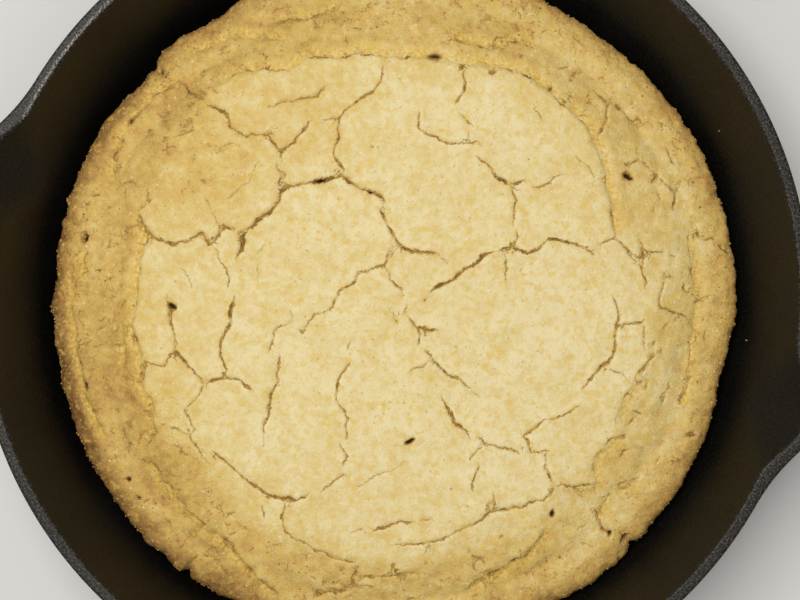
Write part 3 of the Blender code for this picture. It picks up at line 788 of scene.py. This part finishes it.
crust_lines = prepare(np.random.default_rng(7))


def within_reach(points, line, reach):
    """The points inside a line's bounding box, widened by a reach."""
    return np.flatnonzero(((points > line.min(0) - reach) & (points < line.max(0) + reach)).all(1))


def drawn_to_lines(x, y, hold):
    """Points moved towards the nearest line by DRAW of the way to it, dying away as a bell, so that the
    mesh is fine where the crust is torn. hold is 1 where points must stay."""
    best = np.full(len(x), 1e9)
    way = np.zeros((len(x), 2))
    points = np.stack([x, y], -1)
    for _, line, _, _ in crust_lines:
        near = within_reach(points, line, 6)
        distance, _, gap, _ = to_route(points[near], line)
        closer = distance < best[near]
        best[near[closer]] = distance[closer]
        way[near[closer]] = gap[closer]
    pull = DRAW * np.exp(-(best / DRAW_REACH) ** 2) * (1 - hold)
    return x + way[:, 0] * pull, y + way[:, 1] * pull


def torn_crust(x, y):
    """What the tears do to the crust at each point: its rise, and as columns how far inside a crack it
    lies (0 to 1), how much bare crumb shows (0 to 1), how far it is from the nearest tear, positive on
    the left, how wide that tear gapes there to each side, and how near the curled lip of a ledge is.
    A tear is a groove whose section is two eased ramps that meet nearer its higher side, on a step that
    dies away to both sides."""
    points = np.stack([x, y], -1)
    rise, inside, bare, gape, lip = np.zeros((5, len(x)))
    beside, nearest = np.full((2, len(x)), FAR)
    for kind, line, half_width, lift in crust_lines:
        near = within_reach(points, line, 14)
        distance, side, _, place = to_route(points[near], line)
        half = np.interp(place, np.arange(len(line)), half_width)
        ends = np.minimum(place, len(line) - 1 - place)
        fade = np.clip(ends / FADE, 0, 1)
        gap = distance - half
        closer = gap < nearest[near]
        spot = near[closer]
        nearest[spot], beside[spot] = gap[closer], (side * distance)[closer]
        gape[spot] = (half - 0.6 * np.maximum(gap - 0.6, 0) - 0.6 * distance * (ends == 0))[closer]
        half = half * (1 + 0.35 * lattice_noise(x[near], y[near], 1.5, 33))
        across = side * distance / half
        deepest = 0.5 * np.sign(lift)
        share = np.where(across > deepest, (1 - across) / (1 - deepest), (1 + across) / (1 + deepest))
        share = np.clip(share, 0, 1)
        opening = ease(share * 1.1)
        if kind == "ledge":
            rough = side * distance + 0.9 * rough_noise(x[near], y[near], 2.6, 35, 2)
            step = np.clip(rough / LEDGE_STEP, -1, 1) * np.exp(-distance / LEDGE_REACH)
            rise[near] += 0.7 * lift * step * fade
            rise[near] += 0.35 * lift * np.exp(-((rough + LIP_IN) / LIP_WIDTH) ** 2) * fade
            rise[near] -= opening * half
            bare[near] = np.maximum(bare[near], np.exp(-((rough + CRUMB_OUT) / CRUMB_WIDTH) ** 2) * fade)
            lip[near] = np.maximum(lip[near], lift * np.exp(-((rough + LIP_BROWN_IN) / LIP_BROWN_WIDTH) ** 2) * fade)
        elif kind != "pit":
            step = np.clip(side * distance / SPLIT_STEP, -1, 1) * np.exp(-distance / SPLIT_REACH)
            rise[near] += lift / 2 * step * fade
            burr = np.exp(-((distance - half - SPLIT_STEP) / BURR_WIDTH) ** 2)
            rise[near] += BURR_HEIGHT * burr * (kind == "split")
            rise[near] -= opening * (SPLIT_DEPTH + SPLIT_STEEPNESS * half)
            inside[near] = np.maximum(inside[near], share * np.clip(0.3 + 0.75 * half, 0, 0.75))
    for px, py, length, width, degrees, depth in PITS:
        turn = math.radians(degrees)
        along = ((x - px) * math.cos(turn) + (y - py) * math.sin(turn)) / length
        across = ((y - py) * math.cos(turn) - (x - px) * math.sin(turn)) / width
        ragged = 1 + 0.25 * lattice_noise(x, y, 0.8, 31)
        hollow = np.clip(1 - (along ** 2 + across ** 2) * ragged, 0, 1) ** 0.5
        rise -= depth * hollow
        inside = np.maximum(inside, np.minimum(1.3 * hollow * min(depth / 2, 1), 1))
    return rise, np.stack([inside, bare, np.clip(beside, -FAR, FAR), gape, lip], -1)


def crust(x, y):
    """The finished crust: its height, its outward lean (0 on top, 1 at the widest line), its relief
    along the outward normal, and the columns of torn_crust. The relief is the tears' rise, lumps of
    several sizes, and furrows where a wide noise crosses zero."""
    height, past = smooth_form(x, y)
    rise, tears = torn_crust(x, y)
    r, turn = np.hypot(x, y), np.arctan2(y, x)
    band, outer = ease((r - 74) / 16), ease((r - 92) / 8)
    broken = np.maximum(tears[:, 1], past)
    lumps = 0.0
    for where, high, u, v, size, seed, octaves, keep in (
        (1.0, 0.16, x, y, 5.0, 41, 3, 0.5),                     # the whole top's soft unevenness
        (1.0, 0.07, x, y, 1.6, 51, 2, 0.5),
        (band, 0.5, x, y, 4.5, 61, 3, 0.65),                    # the band's lumps,
        (band, 0.4, r, 28 * np.abs(turn), 3.6, 63, 2, 0.6),     # some of them drawn out along it
        (broken, 0.5, x, y, 1.9, 71, 3, 0.7),                   # crumb laid bare, and the shoulder
        (outer, 0.3, x, y, 2.8, 73, 2, 0.7),
    ):
        lumps = lumps + where * high * rough_noise(u, v, size, seed, octaves, keep)
    furrow = np.exp(-(lattice_noise(x, y, 7.5, 65) / 0.07) ** 2)
    lumps = lumps - band * 0.35 * furrow * np.clip(3 * lattice_noise(x, y, 12.0, 67), 0, 1)
    return height, past, rise + lumps, tears


TOP_SIDE = 272            # grid points along one side of the square that becomes the top


def square_to_disc(count):
    """A square grid bent into a unit disc: each square ring becomes a circle of the same share."""
    line = np.linspace(-1, 1, count)
    a, b = np.meshgrid(line, line, indexing="ij")
    ring = np.maximum(np.abs(a), np.abs(b))
    flat = np.abs(a) > np.abs(b)
    quarter_turn = math.pi / 4
    theta = np.where(
        flat,
        quarter_turn * b / np.where(flat, a, 1),
        2 * quarter_turn - quarter_turn * a / np.where(flat | (b == 0), 1, b),
    )
    sign = np.where(flat, np.sign(a), np.sign(b))
    return ring * sign * np.cos(theta), ring * sign * np.sin(theta), ring


def top_points():
    """Plan positions of the top's grid: rings are spaced evenly along the surface, so they close up in
    plan where the shoulder steepens."""
    u, v, ring = (part.ravel() for part in square_to_disc(TOP_SIDE))
    degrees = np.degrees(np.arctan2(v, u))
    edge = edge_radius(degrees)
    flat = edge - SHOULDER
    run = ring * (flat + SHOULDER_ARC)
    turned = np.clip((run - flat) / SHOULDER_ARC, 0, 1) * math.pi / 2
    radius = np.where(turned > 0, flat + SHOULDER * np.sin(turned), run)
    turn = np.radians(degrees)
    return radius * np.cos(turn), radius * np.sin(turn), ring


def loaf_points():
    """Every point of the loaf's top down to its widest line, with the columns of torn_crust and how
    hollow the crust is there, 0 to 1, which later darkens its colour as painted shade."""
    x, y, ring = top_points()
    hold = ease((np.hypot(x, y) - edge_radius(np.degrees(np.arctan2(y, x))) + 7) / 4)
    x, y = drawn_to_lines(x, y, hold)
    height, past, relief, tears = crust(x, y)
    lean = np.where(ring > 0.9999, 1, past) ** 1.5
    out = 1 + relief * lean / np.maximum(np.hypot(x, y), 1e-9)
    hollow = np.clip(-relief / 0.8, 0, 1)
    return np.stack([x * out, y * out, height + relief * np.sqrt(1 - lean ** 2)], -1), tears, hollow


top, top_tears, top_hollow_shade = loaf_points()
index = np.arange(TOP_SIDE ** 2).reshape(TOP_SIDE, TOP_SIDE)
top_quads = np.stack([index[:-1, :-1], index[1:, :-1], index[1:, 1:], index[:-1, 1:]], -1).reshape(-1, 4)
border = np.concatenate([index[0, :-1], index[:-1, -1], index[-1, :0:-1], index[:0:-1, 0]])

# The side leans in with the pan's wall, rounds under and ends on the flat underside:
# (how far in from the widest line, height above the underside)
SIDE = ((0.15, 14.0), (0.5, 12.8), (1.0, 11.3), (1.6, 9.7), (2.2, 8.1), (3.0, 6.5), (4.2, 4.7), (5.7, 3.1),
        (7.6, 1.6), (9.8, 0.5), (12.5, 0.0), (20, 0.0), (50, 0.0), (90, 0.0))
rim_points = top[border]
rim_radius = np.hypot(rim_points[:, 0], rim_points[:, 1])
turn = np.arctan2(rim_points[:, 1], rim_points[:, 0])
rings = []
for inset, level in SIDE:
    fade = np.exp(-inset / 3)
    crumbly = 0.3 * rough_noise(turn * 110, np.full(len(turn), level), 2.2, 81, 3, 0.7) * min(1, level / 2)
    base_radius = fade * rim_radius + (1 - fade) * edge_radius(np.degrees(turn))
    rings.append(around_axis(base_radius - inset + crumbly, turn, LOAF_FLOOR + level))
rings = np.array(rings)
side_start = len(top)
ring_index = np.concatenate([border[None], side_start + np.arange(rings[..., 0].size).reshape(len(SIDE), -1)])
after = np.roll(ring_index, -1, 1)
side_quads = np.stack([ring_index[:-1], after[:-1], after[1:], ring_index[1:]], -1).reshape(-1, 4)
centre = side_start + rings[..., 0].size
fan = np.stack([ring_index[-1], after[-1], np.full(len(border), centre)], -1)


def on_the_pan(x, y, z):
    """Points in the loaf's own axes and mm, placed in the pan in metres."""
    c, s = math.cos(LOAF_TURN), math.sin(LOAF_TURN)
    return np.stack([(x * c - y * s) * MM, (x * s + y * c) * MM, z * MM], -1)


all_points = np.concatenate([top, rings.reshape(-1, 3), [[0, 0, LOAF_FLOOR]]])
placed = on_the_pan(*all_points.T)
loaf_mesh = bpy.data.meshes.new("cornbread_loaf")
loaf_mesh.from_pydata(placed.tolist(), [], top_quads.tolist() + side_quads.tolist() + fan.tolist())
face_outwards(loaf_mesh)
loaf_mesh.shade_smooth()
loaf = show("cornbread_loaf", loaf_mesh)

# Patches that took more colour in the oven, and pale ones: (x, y, radius, how much)
PATCHES = (
    (-62, 38, 17, 0.16), (-52, 14, 10, 0.06), (-96, 5, 14, 0.03), (-94, -25, 16, 0.14), (-70, 66, 12, 0.12),
    (-30, 60, 14, 0.10), (-66, -55, 14, 0.14), (60, -58, 12, 0.02), (50, 40, 12, 0.04), (-20, 52, 10, 0.08),
    (-45, 42, 14, 0.10), (68, -66, 14, -0.05), (30, 84, 16, 0.06), (-15, 86, 16, 0.05), (-35, 88, 12, 0.05),
    (-4, -88, 16, -0.04), (56, -8, 24, -0.08), (35, -48, 26, -0.07), (40, 60, 18, -0.04),
    # the pale patch at (94, 10) is painted light: it lifts the right band's slope, which faces away from the
    # key light
    (-40, -50, 18, -0.03), (-66, -5, 12, 0.07), (94, 10, 15, -0.08), (-75, -65, 12, -0.04),
    (-94, 44, 12, 0.02), (-84, 54, 9, 0.03), (66, -72, 10, -0.09), (92, -33, 14, -0.08), (-54, -93, 8, 0.08),
    (62, -92, 14, -0.06),
)


def toasting(x, y):
    """How browned the crust is, 0 to 1: little over the plateau, more over the outer band, most at the
    widest line and on the side away from the oven's door, with patches; one pale patch is painted light."""
    r, turn = np.hypot(x, y), np.arctan2(y, x)
    in_from_edge = edge_radius(np.degrees(turn)) - r
    away = 0.5 - 0.5 * np.cos(turn - math.radians(20))
    toast_and_shade = 0.09 + 0.11 * ease((r - 55) / 35) + 0.12 * ease((r - 78) / 14) * (0.7 + away)
    toast_and_shade = toast_and_shade + (0.24 + 0.08 * away) * ease((r - 101) / 9) ** 1.3
    toast_and_shade = toast_and_shade + 0.12 * away ** 3 * np.exp(-(in_from_edge / 5) ** 2)
    toast_and_shade = toast_and_shade + 0.12 * np.exp(-(in_from_edge / 1.4) ** 2)
    for px, py, size, much in PATCHES:
        toast_and_shade = toast_and_shade + much * np.exp(-((x - px) ** 2 + (y - py) ** 2) / size ** 2)
    return toast_and_shade + 0.05 * rough_noise(x, y, 14.0, 91, 3) + 0.03 * rough_noise(x, y, 3.0, 95, 2)


flat_x, flat_y = all_points[:, 0], all_points[:, 1]
below = np.clip((EDGE_HEIGHT - all_points[:, 2]) / 4, 0, 1)
untorn = np.repeat([[0, 0, FAR, -FAR, 0]], len(all_points) - len(top), 0)
inside, bare, beside, gape, lip = np.concatenate([top_tears, untorn]).T
hollow = np.concatenate([top_hollow_shade, np.zeros(len(untorn))])
# darker on top of the browning: 0.25 below the widest line, the ledges' lips, and up to 0.1 in the relief's
# hollows as painted shade
for name, values in (
    ("toast_and_shade", np.clip(toasting(flat_x, flat_y) + 0.25 * below + 0.09 * lip + 0.1 * hollow, 0, 1)),
    ("inside", inside),
    ("bare", bare),
    ("beside", beside),
    ("gape", gape),
):
    set_values(loaf_mesh, name, values)


def swung(tree, value, *swings):
    """A value swung about itself by noises: each (noise, how far) is carried from 0.25..0.75 to that far
    on both sides of zero, and added."""
    for noise, far in swings:
        swing = {"Value": noise, "From Min": 0.25, "From Max": 0.75, "To Min": -far, "To Max": far}
        value = add(tree, "Math", {0: value, 1: add(tree, "MapRange", swing)}, operation="ADD")
    return value


def baked_cornmeal_crust():
    """Oven-baked cornmeal crust: dry and matte, pale cream-yellow where it baked least, through gold to
    toasted brown, mottled over 2 to 8 mm and speckled by meal grains of about 0.5 mm. The tears' fine
    jags are drawn here: the distance to the tear is swung by noise before it is compared to its gape.
    Crack walls, the tears' cores and the pits darken with depth as painted shade."""
    made, tree, shader = new_material("baked_cornmeal_crust")
    place = add(tree, "TexCoord", out="Object")
    toast_and_shade, inside, bare, beside, gape = (
        add(tree, "Attribute", out="Fac", attribute_name=name)
        for name in ("toast_and_shade", "inside", "bare", "beside", "gape")
    )
    # each noise: size in mm, detail, roughness
    noise = {
        name: add(tree, "TexNoise", {
            "Vector": place, "Scale": 1 / (size * MM), "Detail": detail, "Roughness": roughness,
        })
        for name, size, detail, roughness in (
            ("mottle", 7.0, 5.0, 0.62), ("blotch", 2.2, 3.0, 0.5), ("grain", 0.55, 2.0, 0.5),
            ("tan", 4.0, 3.0, 0.5), ("yellow", 2.3, 2.0, 0.5), ("crumb", 1.2, 3.0, 0.5),
            ("jag", 1.5, 3.0, 0.55), ("fine jag", 0.6, 2.0, 0.5), ("gape", 2.0, 2.0, 0.5),
            ("pore", 1.3, 2.0, 0.5), ("pore patch", 8.0, 1.0, 0.5), ("web patch", 4.0, 2.0, 0.5),
        )
    }

    level = swung(tree, toast_and_shade, (noise["mottle"], 0.15), (noise["blotch"], 0.09), (noise["grain"], 0.07))
    # the last ramp colours a crack's walls: browner crumb, darkened with depth by painted shade
    skin, tan, yellow, crumb, crack_wall_and_shade = (
        add(tree, "ValToRGB", {"Fac": fac}, stops=stops) for fac, stops in (
            (level, ((0.0, "#ead9a6"), (0.14, "#e3ce91"), (0.32, "#dabb6d"), (0.5, "#c9a357"),
                     (0.72, "#a98143"), (1.0, "#6f4d26"))),
            (toast_and_shade, ((0.1, "#dfbc72"), (0.35, "#d2a45d"), (0.65, "#a37039"))),
            (toast_and_shade, ((0.1, "#dfbd58"), (0.4, "#d9b354"))),
            (noise["crumb"], ((0.34, "#c08f3c"), (0.5, "#dfb957"), (0.66, "#efd27a"))),
            (inside, ((0.0, "#dec280"), (0.38, "#d0ac62"), (0.6, "#ab8342"), (0.75, "#866336"),
                      (1.0, "#33200f"))),
        )
    )

    # bits of meal and bran: the middles of a share of the cells, (channel, least, most, colour)
    bits = add(tree, "TexVoronoi", {"Vector": place, "Scale": 1 / (1.6 * MM)})
    lots = add(tree, "SeparateColor", {"Color": bits.node.outputs["Color"]}).node.outputs
    speckles = [
        (overlap(
            tree, (add(tree, "Math", {0: lots[channel], 1: least}, operation="GREATER_THAN"), 0, 1),
            (bits, 0.32, 0.16), most=most,
        ), linear(hue))
        for channel, least, most, hue in (
            ("Red", 0.72, 0.45, "#e2bf5e"), ("Green", 0.92, 0.45, "#f0e4b8"), ("Blue", 0.95, 0.4, "#a58246"),
        )
    ]

    # the tears: how far inside one a place lies, once its edges are jagged; their dark cores, near black in
    # the pits, are painted shade
    jag = swung(tree, beside, (noise["jag"], 0.55), (noise["fine jag"], 0.22))
    waver = {"Value": noise["gape"], "From Min": 0.32, "From Max": 0.68, "To Min": 0.15, "To Max": 1.15}
    width = add(tree, "Math", {0: gape, 1: add(tree, "MapRange", waver)}, operation="MULTIPLY")
    away = add(tree, "Math", {0: jag}, operation="ABSOLUTE")
    within = add(tree, "Math", {0: width, 1: away}, operation="SUBTRACT")
    opened = overlap(tree, (within, -0.06, 0.1))
    tear_core_shade = add(tree, "ValToRGB", {"Fac": overlap(tree, (within, 0.0, 0.45))}, stops=(
        (0.0, "#c8a456"), (0.4, "#ad873e"), (1.0, "#82622d"),
    ))
    tear_core_shade = layered(tree, tear_core_shade, [(overlap(tree, (inside, 0.72, 0.88)), linear("#33200f"))])

    # pinholes, and a web of hairlines along the bent edges of 5 mm cells, where the crust is toasted
    patch = noise["pore patch"]
    pores = overlap(tree, (noise["pore"], 0.65, 0.72), (toast_and_shade, 0.22, 0.36), (patch, 0.52, 0.62))
    bend = {"Vector": place, "Scale": 1 / (2 * MM), "Detail": 3.0}
    bend = {0: add(tree, "TexNoise", bend, "Color"), 1: (3 * MM, 3 * MM, 3 * MM), 2: place}
    web = {"Vector": add(tree, "VectorMath", bend, operation="MULTIPLY_ADD"), "Scale": 1 / (5 * MM)}
    web = add(tree, "TexVoronoi", web, feature="DISTANCE_TO_EDGE")
    patch = noise["web patch"]
    web = overlap(tree, (web, 0.05, 0.012), (toast_and_shade, 0.24, 0.34), (patch, 0.57, 0.68), most=0.75)
    pores = add(tree, "Math", {0: pores, 1: web}, operation="MAXIMUM")

    colour = layered(tree, skin, (
        (overlap(tree, (noise["tan"], 0.53, 0.66), most=0.55), tan),
        (overlap(tree, (noise["yellow"], 0.55, 0.68), most=0.6), yellow),
        *speckles,
        (overlap(tree, (bare, 0, 1), most=0.7), crumb),
        (overlap(tree, (inside, 0.05, 0.5)), crack_wall_and_shade),
        (pores, linear("#93692f")),
        (opened, tear_core_shade),
    ))
    tree.links.new(colour, shader.inputs["Base Color"])
    shader.inputs["Roughness"].default_value = 0.78
    shader.inputs["Specular IOR Level"].default_value = 0.35
    shader.inputs["IOR"].default_value = 1.45
    meal = add(tree, "TexVoronoi", {"Vector": place, "Scale": 1 / (0.9 * MM)})
    relief = add(tree, "Math", {0: noise["grain"], 1: meal}, operation="ADD")
    relief = add(tree, "Bump", {"Height": relief, "Strength": 0.5, "Distance": 0.22 * MM})
    holes = add(tree, "Math", {0: opened, 1: pores}, operation="MAXIMUM")
    holes = add(tree, "Math", {0: 1.0, 1: holes}, operation="SUBTRACT")
    holes = {"Height": holes, "Strength": 0.6, "Distance": 0.3 * MM, "Normal": relief}
    tree.links.new(add(tree, "Bump", holes), shader.inputs["Normal"])
    return made


loaf_mesh.materials.append(baked_cornmeal_crust())
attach(loaf, "root")
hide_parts("cornbread")

# --- the loose meal --------------------------------------------------------------------------
# Coarse grains of cornmeal, 0.3 to 0.9 mm across, stand half out of the crust all over, but not in
# the cracks. Some are pale and glassy, and those where the crust has browned are toasted.


def scattered(name, at, sizes, random):
    """Small lumps of eight faces at the given points, each turned and stretched at random. Returns the
    object and the index of the lump that each vertex belongs to."""
    form = np.array([(1, 0, 0), (-1, 0, 0), (0, 1, 0), (0, -1, 0), (0, 0, 1), (0, 0, -1)], float)
    faces = np.array([(0, 2, 4), (2, 1, 4), (1, 3, 4), (3, 0, 4), (2, 0, 5), (1, 2, 5), (3, 1, 5), (0, 3, 5)])
    count = len(at)
    lumps = form[None] * random.uniform(0.7, 1.2, (count, 1, 3)) * sizes[:, None, None]
    spins, _ = np.linalg.qr(random.normal(size=(count, 3, 3)))
    spins = spins * np.sign(np.linalg.det(spins))[:, None, None]
    points = np.einsum("nij,nkj->nki", spins, lumps) + at[:, None]
    mesh = bpy.data.meshes.new(name)
    shifted = faces[None] + 6 * np.arange(count)[:, None, None]
    mesh.from_pydata(points.reshape(-1, 3).tolist(), [], shifted.reshape(-1, 3).tolist())
    return show(name, mesh), np.repeat(np.arange(count), 6)


def meal_grain(name, stops):
    """Cornmeal grains: hard, slightly glassy endosperm, from cream to toasted gold."""
    made, tree, shader = new_material(name)
    tint = add(tree, "Attribute", out="Fac", attribute_name="tint")
    tree.links.new(add(tree, "ValToRGB", {"Fac": tint}, stops=stops), shader.inputs["Base Color"])
    shader.inputs["Roughness"].default_value = 0.5
    shader.inputs["IOR"].default_value = 1.5
    return made


GRAIN_COUNT = 5200
GRAIN_SIZES = (0.16, 0.36)        # half across, in mm
GRAIN_SPREAD = 107.5              # out to just short of the widest line
random = np.random.default_rng(19)
grain_turn = random.uniform(0, 2 * math.pi, GRAIN_COUNT)
grain_radius = GRAIN_SPREAD * np.sqrt(random.uniform(0, 1, GRAIN_COUNT))
grain_x, grain_y = grain_radius * np.cos(grain_turn), grain_radius * np.sin(grain_turn)
height, past, relief, tears = crust(grain_x, grain_y)
grain_size = random.uniform(*GRAIN_SIZES, GRAIN_COUNT) * (1 + 0.3 * past)
grain_at = on_the_pan(grain_x, grain_y, height + relief * np.sqrt(1 - past ** 3) + 0.1 * grain_size)
keep = tears[:, 0] < 0.2
grains, owner = scattered("meal_grains", grain_at[keep], grain_size[keep] * MM, random)
tint = toasting(grain_x, grain_y)[keep] + 0.25 * past[keep] + random.normal(0, 0.13, keep.sum())
tint = np.clip(tint, 0, 1)
set_values(grains.data, "tint", tint[owner])
grains.data.materials.append(meal_grain("cornmeal_grain", (
    (0.0, "#f3e7bb"), (0.2, "#e8d08a"), (0.4, "#dcb964"), (0.7, "#c59a56"), (1.0, "#a97c44"),
)))
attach(grains, "root")

# --- the crumbs ------------------------------------------------------------------------------
# Crumbs of crust, 0.3 to 1.1 mm across, stuck to the loaf's flank, and four strays left on the pan's
# wall, one of them larger. They are toasted like the crust that they broke from.

CRUMB_COUNT = 1300
CRUMB_SIZES = (0.18, 0.45)        # half across, in mm
crumb_turn = random.uniform(0, 2 * math.pi, CRUMB_COUNT)
crumb_past = 1 - 0.65 * random.uniform(0, 1, CRUMB_COUNT) ** 1.6
crumb_edge = edge_radius(np.degrees(crumb_turn))
crumb_radius = crumb_edge - SHOULDER * (1 - crumb_past)
crumb_x, crumb_y = crumb_radius * np.cos(crumb_turn), crumb_radius * np.sin(crumb_turn)
height, past, relief, _ = crust(crumb_x, crumb_y)
crumb_size = random.uniform(*CRUMB_SIZES, CRUMB_COUNT)
lean = np.clip(past, 0, 1) ** 1.5
crumb_radius = crumb_radius + relief * lean
crumb_z = height + relief * np.sqrt(1 - lean ** 2)
crumb_at = on_the_pan(*around_axis(crumb_radius, crumb_turn, crumb_z).T)
# the strays on the wall, in the loaf's axes: direction in degrees, height, half across
stray_turn, stray_z, stray_size = np.array((
    (120.6, 26.0, 0.8), (27.2, 30.0, 0.35), (353.3, 24.0, 0.4), (250.0, 33.0, 0.3),
)).T
stray_radius = wall_radius(stray_z * MM, True) / MM - 0.25
stray_at = on_the_pan(*around_axis(stray_radius, np.radians(stray_turn), stray_z).T)
crumb_at = np.concatenate([crumb_at, stray_at])
crumb_size = np.concatenate([crumb_size, stray_size])
crumbs, owner = scattered("crust_crumbs", crumb_at, crumb_size * MM, random)
tint = np.clip(random.normal(0.5, 0.14, len(crumb_at)), 0, 1)
set_values(crumbs.data, "tint", tint[owner])
crumbs.data.materials.append(meal_grain("crust_crumb", (
    (0.0, "#ecd693"), (0.35, "#d3aa5c"), (0.7, "#b0823f"), (1.0, "#80582c"),
)))
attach(crumbs, "root")

# --- the stage, the lights and the camera ----------------------------------------------------
# A plain pale floor and a pale room. One large soft light stands above the pan on the side of the
# left lip, and a larger, weaker one above the handle.

bpy.ops.mesh.primitive_plane_add(size=6)
floor = bpy.context.object
floor.name = "floor"
pale, _, shader = new_material("pale_floor")
shader.inputs["Base Color"].default_value = linear("#dcdad6")
shader.inputs["Roughness"].default_value = 0.9
floor.data.materials.append(pale)

world = bpy.data.worlds.new("studio")
world.use_nodes = True
world.node_tree.nodes["Background"].inputs["Color"].default_value = (1.0, 0.98, 0.94, 1.0)
world.node_tree.nodes["Background"].inputs["Strength"].default_value = 0.25
bpy.context.scene.world = world


def soft_light(name, size, power, place, aim):
    """A square area light at a place, pointing at another."""
    lamp = bpy.data.lights.new(name, "AREA")
    lamp.size = size
    lamp.energy = power
    made = show(name, lamp)
    made.location = place
    made.rotation_euler = (Vector(aim) - made.location).to_track_quat("-Z", "Y").to_euler()


MIDDLE = (0, 0, 0.03)
soft_light("key", 0.8, 12.4, (-0.38, 0.24, 1.25), MIDDLE)
soft_light("fill", 1.4, 4.6, (0.11, -0.70, 1.4), MIDDLE)

CAMERA_PLACE = (2.35, -0.43, 560 + RIM_HEIGHT / MM)     # straight above, in mm in the loaf's axes
camera_data = bpy.data.cameras.new("camera")
camera_data.lens = 81.5
camera_data.sensor_width = 36
camera = show("camera", camera_data)
camera.location = on_the_pan(*CAMERA_PLACE)
camera.rotation_euler = (0, 0, LOAF_TURN)
bpy.context.scene.camera = camera
bpy.context.scene.view_settings.view_transform = "Standard"
